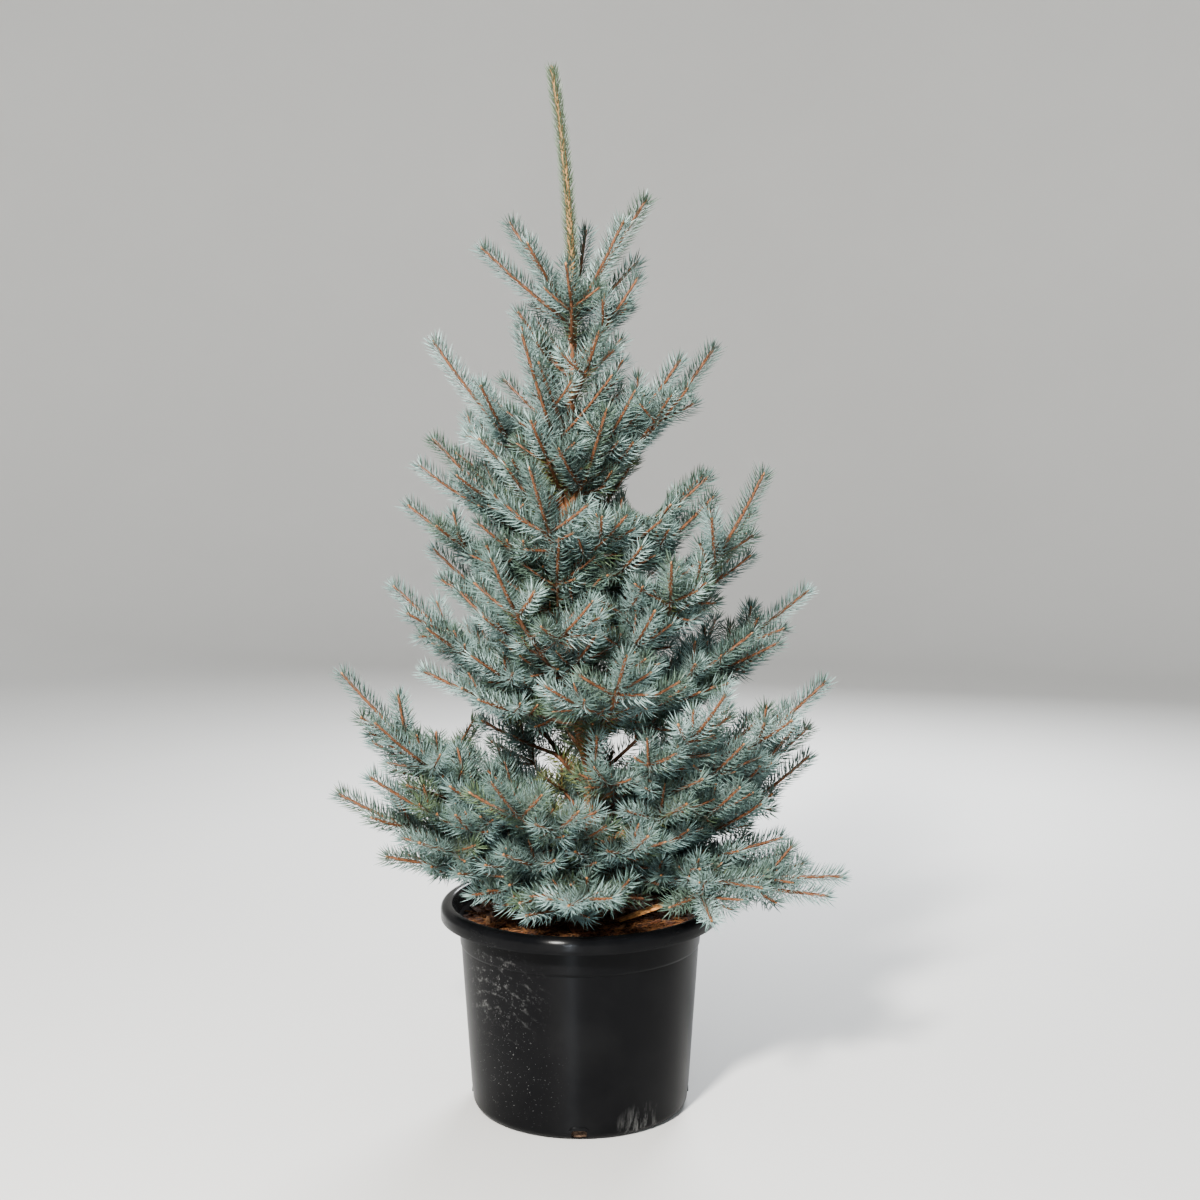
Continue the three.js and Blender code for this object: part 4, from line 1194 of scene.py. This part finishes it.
def make_leader(needles, stem_material, bud_material):
    """The top shoot: its stem, its short needles, and its end bud with three more round it."""
    shoot = leader_shoot()
    shares = np.linspace(0, 1, 50)
    radii = LEADER["foot"] + (LEADER["top"] - LEADER["foot"]) * shares
    points, faces = tube(shoot.at(shares), shoot.along(shares), radii, 12, tip=True)
    stem = mesh_object("leader_stem", (roughen(points, 4, 0.4), faces), [stem_material])
    arrays = needle_feet(shoot, np.random.default_rng(5), **LEADER_NEEDLES)
    shades = np.full(len(arrays[0]), SHADE_NAMES.index("leader"))
    skin, slots = needle_mesh(*kept_needles(arrays, shades))
    spray = mesh_object("leader_needles", skin, needles, slots, smooth=False)
    buds = [bud_tube(shoot.end, shoot.end_way, *LEADER_BUD)]
    for turn in (0, 120, 240):
        way = unit(shoot.end_way + 0.7 * heading_for(turn, 0))
        buds.append(bud_tube(shoot.end, way, *LEADER_SIDE_BUD))
    return stem, spray, mesh_object("leader_buds", join_parts(buds), [bud_material])


def own(piece, slot, *nodes):
    """The piece rides on the root and stands for these nodes, which it hides; its slot is not used."""
    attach(piece, "root")
    if nodes:
        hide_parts(*nodes)


# Assembly
def dress_pot():
    """The pot, its soil and what lies on the soil."""
    plastic = pot_material()
    own(make_pot(plastic), "pot", "pot")
    own(make_slot_ridges(plastic), "pot")
    own(make_soil(soil_material("compost", *COMPOST)), "soil", "soil")
    # The slot soil's paler colour is painted light
    own(make_slot_soil(soil_material("slot_compost", *SLOT_COMPOST_PAINTED_LIGHT)), "soil")
    chip_skins = [soil_material(name, *colours) for name, colours in CHIP_SKINS.items()]
    own(make_chips(chip_skins), "soil")
    own(make_litter(new_material("litter", (0.2, 0.09, 0.035), 0.8)[0]), "soil")


def dress_wood(sprays):
    """The trunk, and the limbs of all the boughs."""
    own(make_trunk(bark_material("trunk_bark_skin", *TRUNK_BARK)), "bark", "trunk")
    limbs = [bough for _, _, bough in sprays if bough]
    nodes = sorted(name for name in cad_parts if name.startswith("bough_"))
    own(make_limbs(limbs, bark_material("limb_bark_skin", *LIMB_BARK)), "bark", *nodes)


def own_foliage(letter, members, seed, skins):
    """Twigs, buds and needles of one whorl; members hold a node, its shoots and its limb."""
    random = np.random.default_rng(seed)
    shoots = [shoot for _, some, _ in members for shoot in some]
    names = [name for name, _, _ in members if name]
    own(make_twigs(shoots, skins["twigs"], f"twigs_{letter}"), "needles", *names)
    own(make_buds(shoots, skins["buds"], f"buds_{letter}"), "needles", *names)
    batches = [[]]
    for name, some, bough in members:
        arrays = gather_needles(some + ([bough] if bough else []), random)
        filled = sum(len(other[0]) for _, other in batches[-1])
        faces = (filled + len(arrays[0])) * len(NEEDLE_TRIANGLES)
        if batches[-1] and faces > LARGEST_PIECE:
            batches.append([])
        batches[-1].append((name, arrays))
    for number, batch in enumerate(batches, 1):
        columns = [np.concatenate(column) for column in zip(*(arrays for _, arrays in batch))]
        skin, slots = needle_mesh(*columns)
        name = f"needles_{letter}{number}"
        piece = mesh_object(name, skin, skins["needles"], slots, smooth=False)
        own(piece, "needles", *[name for name, _ in batch if name])


def dress_foliage(sprays):
    """The leader, the whorls, and the weaker growth between and below them."""
    skins = {"needles": needle_materials()}
    skins["twigs"] = [
        new_material(f"twig_year_{i}", colour, 0.7)[0] for i, colour in enumerate(TWIG_COLOURS)
    ]
    skins["buds"] = new_material("bud_scales", (0.42, 0.2, 0.09), 0.55)[0]
    leader_bark = bark_material("leader_skin", *LEADER_BARK)
    for piece in make_leader(skins["needles"], leader_bark, skins["buds"]):
        own(piece, "needles", "leader")
    whorls = {}
    for spray in sprays:
        whorls.setdefault(spray[0].split("_")[1][0], []).append(spray)
    for letter, members in whorls.items():
        own_foliage(letter, members, ord(letter), skins)
    own_foliage("weak", grow_weak_boughs(), 76, skins)
    own_foliage("inner", [(None, grow_inner_twigs(), None)], 77, skins)
    own_foliage("skirt", [(None, grow_skirt(), None)], 78, skins)


# The stage, light and camera
def make_stage():
    material, shader = new_material("stage_paper", (0.66, 0.66, 0.65), 0.9)
    graph = Graph(material)
    tone = graph.mix(graph.noise(1.2, 3), (0.64, 0.64, 0.63), (0.68, 0.68, 0.67))
    graph.link(tone, shader.inputs["Base Color"])
    profile = [(AXIS, 0), (2000, 0), (FLOOR_RADIUS, 0)]
    profile += arc((FLOOR_RADIUS, FLOOR_BEND), FLOOR_BEND, -84, 0, 14)
    profile += [(FLOOR_RADIUS + FLOOR_BEND, WALL_TOP)]
    points, faces = turned_skin(profile, 128)
    mesh_object("stage_floor", (points, faces[:, ::-1]), [material])


# Lights, in metres and watts: place, target, size, power and colour
LIGHTS = {
    "key": ((-1.35, -3.65, 3.5), (0, 0, 0.9), 0.6, 530, (1.0, 0.965, 0.91)),
    "sheen": ((-0.33, -2.6, 0.35), (0, -0.2, 0.2), 0.2, 18, (0.82, 0.9, 1.0)),
    "fill": ((3.2, -2.6, 1.8), (0, 0, 0.8), 2.4, 10, (0.9, 0.95, 1.0)),
    "back": ((0.9, 3.3, 2.6), (0, 0, 0.8), 1.8, 190, (0.95, 0.97, 1.0)),
}
SKY_COLOUR = (0.9, 0.925, 0.95)
SKY_STRENGTH = 0.43


def add_light(name, place, target, size, power, colour):
    data = bpy.data.lights.new(name, "AREA")
    data.shape = "DISK"
    data.size, data.energy, data.color = size, power, colour
    lamp = add_object(name, data)
    lamp.location = place
    lamp.rotation_euler = (Vector(target) - Vector(place)).to_track_quat("-Z", "Y").to_euler()


def make_sky():
    world = bpy.data.worlds.new("studio")
    world.use_nodes = True
    background = world.node_tree.nodes["Background"]
    background.inputs["Color"].default_value = (*SKY_COLOUR, 1)
    background.inputs["Strength"].default_value = SKY_STRENGTH
    bpy.context.scene.world = world


def make_camera():
    data = bpy.data.cameras.new("camera")
    data.sensor_width, data.lens = SENSOR, FOCAL_LENGTH
    camera = add_object("camera", data)
    camera.location = CAMERA_PLACE
    camera.rotation_euler = (math.radians(90 - CAMERA_PITCH), 0, 0)
    bpy.context.scene.camera = camera


# The run
dress_pot()
sprays = grow_tree()
dress_wood(sprays)
dress_foliage(sprays)
make_stage()
for name, settings in LIGHTS.items():
    add_light(name, *settings)
make_sky()
bpy.context.scene.view_settings.look = "AgX - Medium High Contrast"
make_camera()
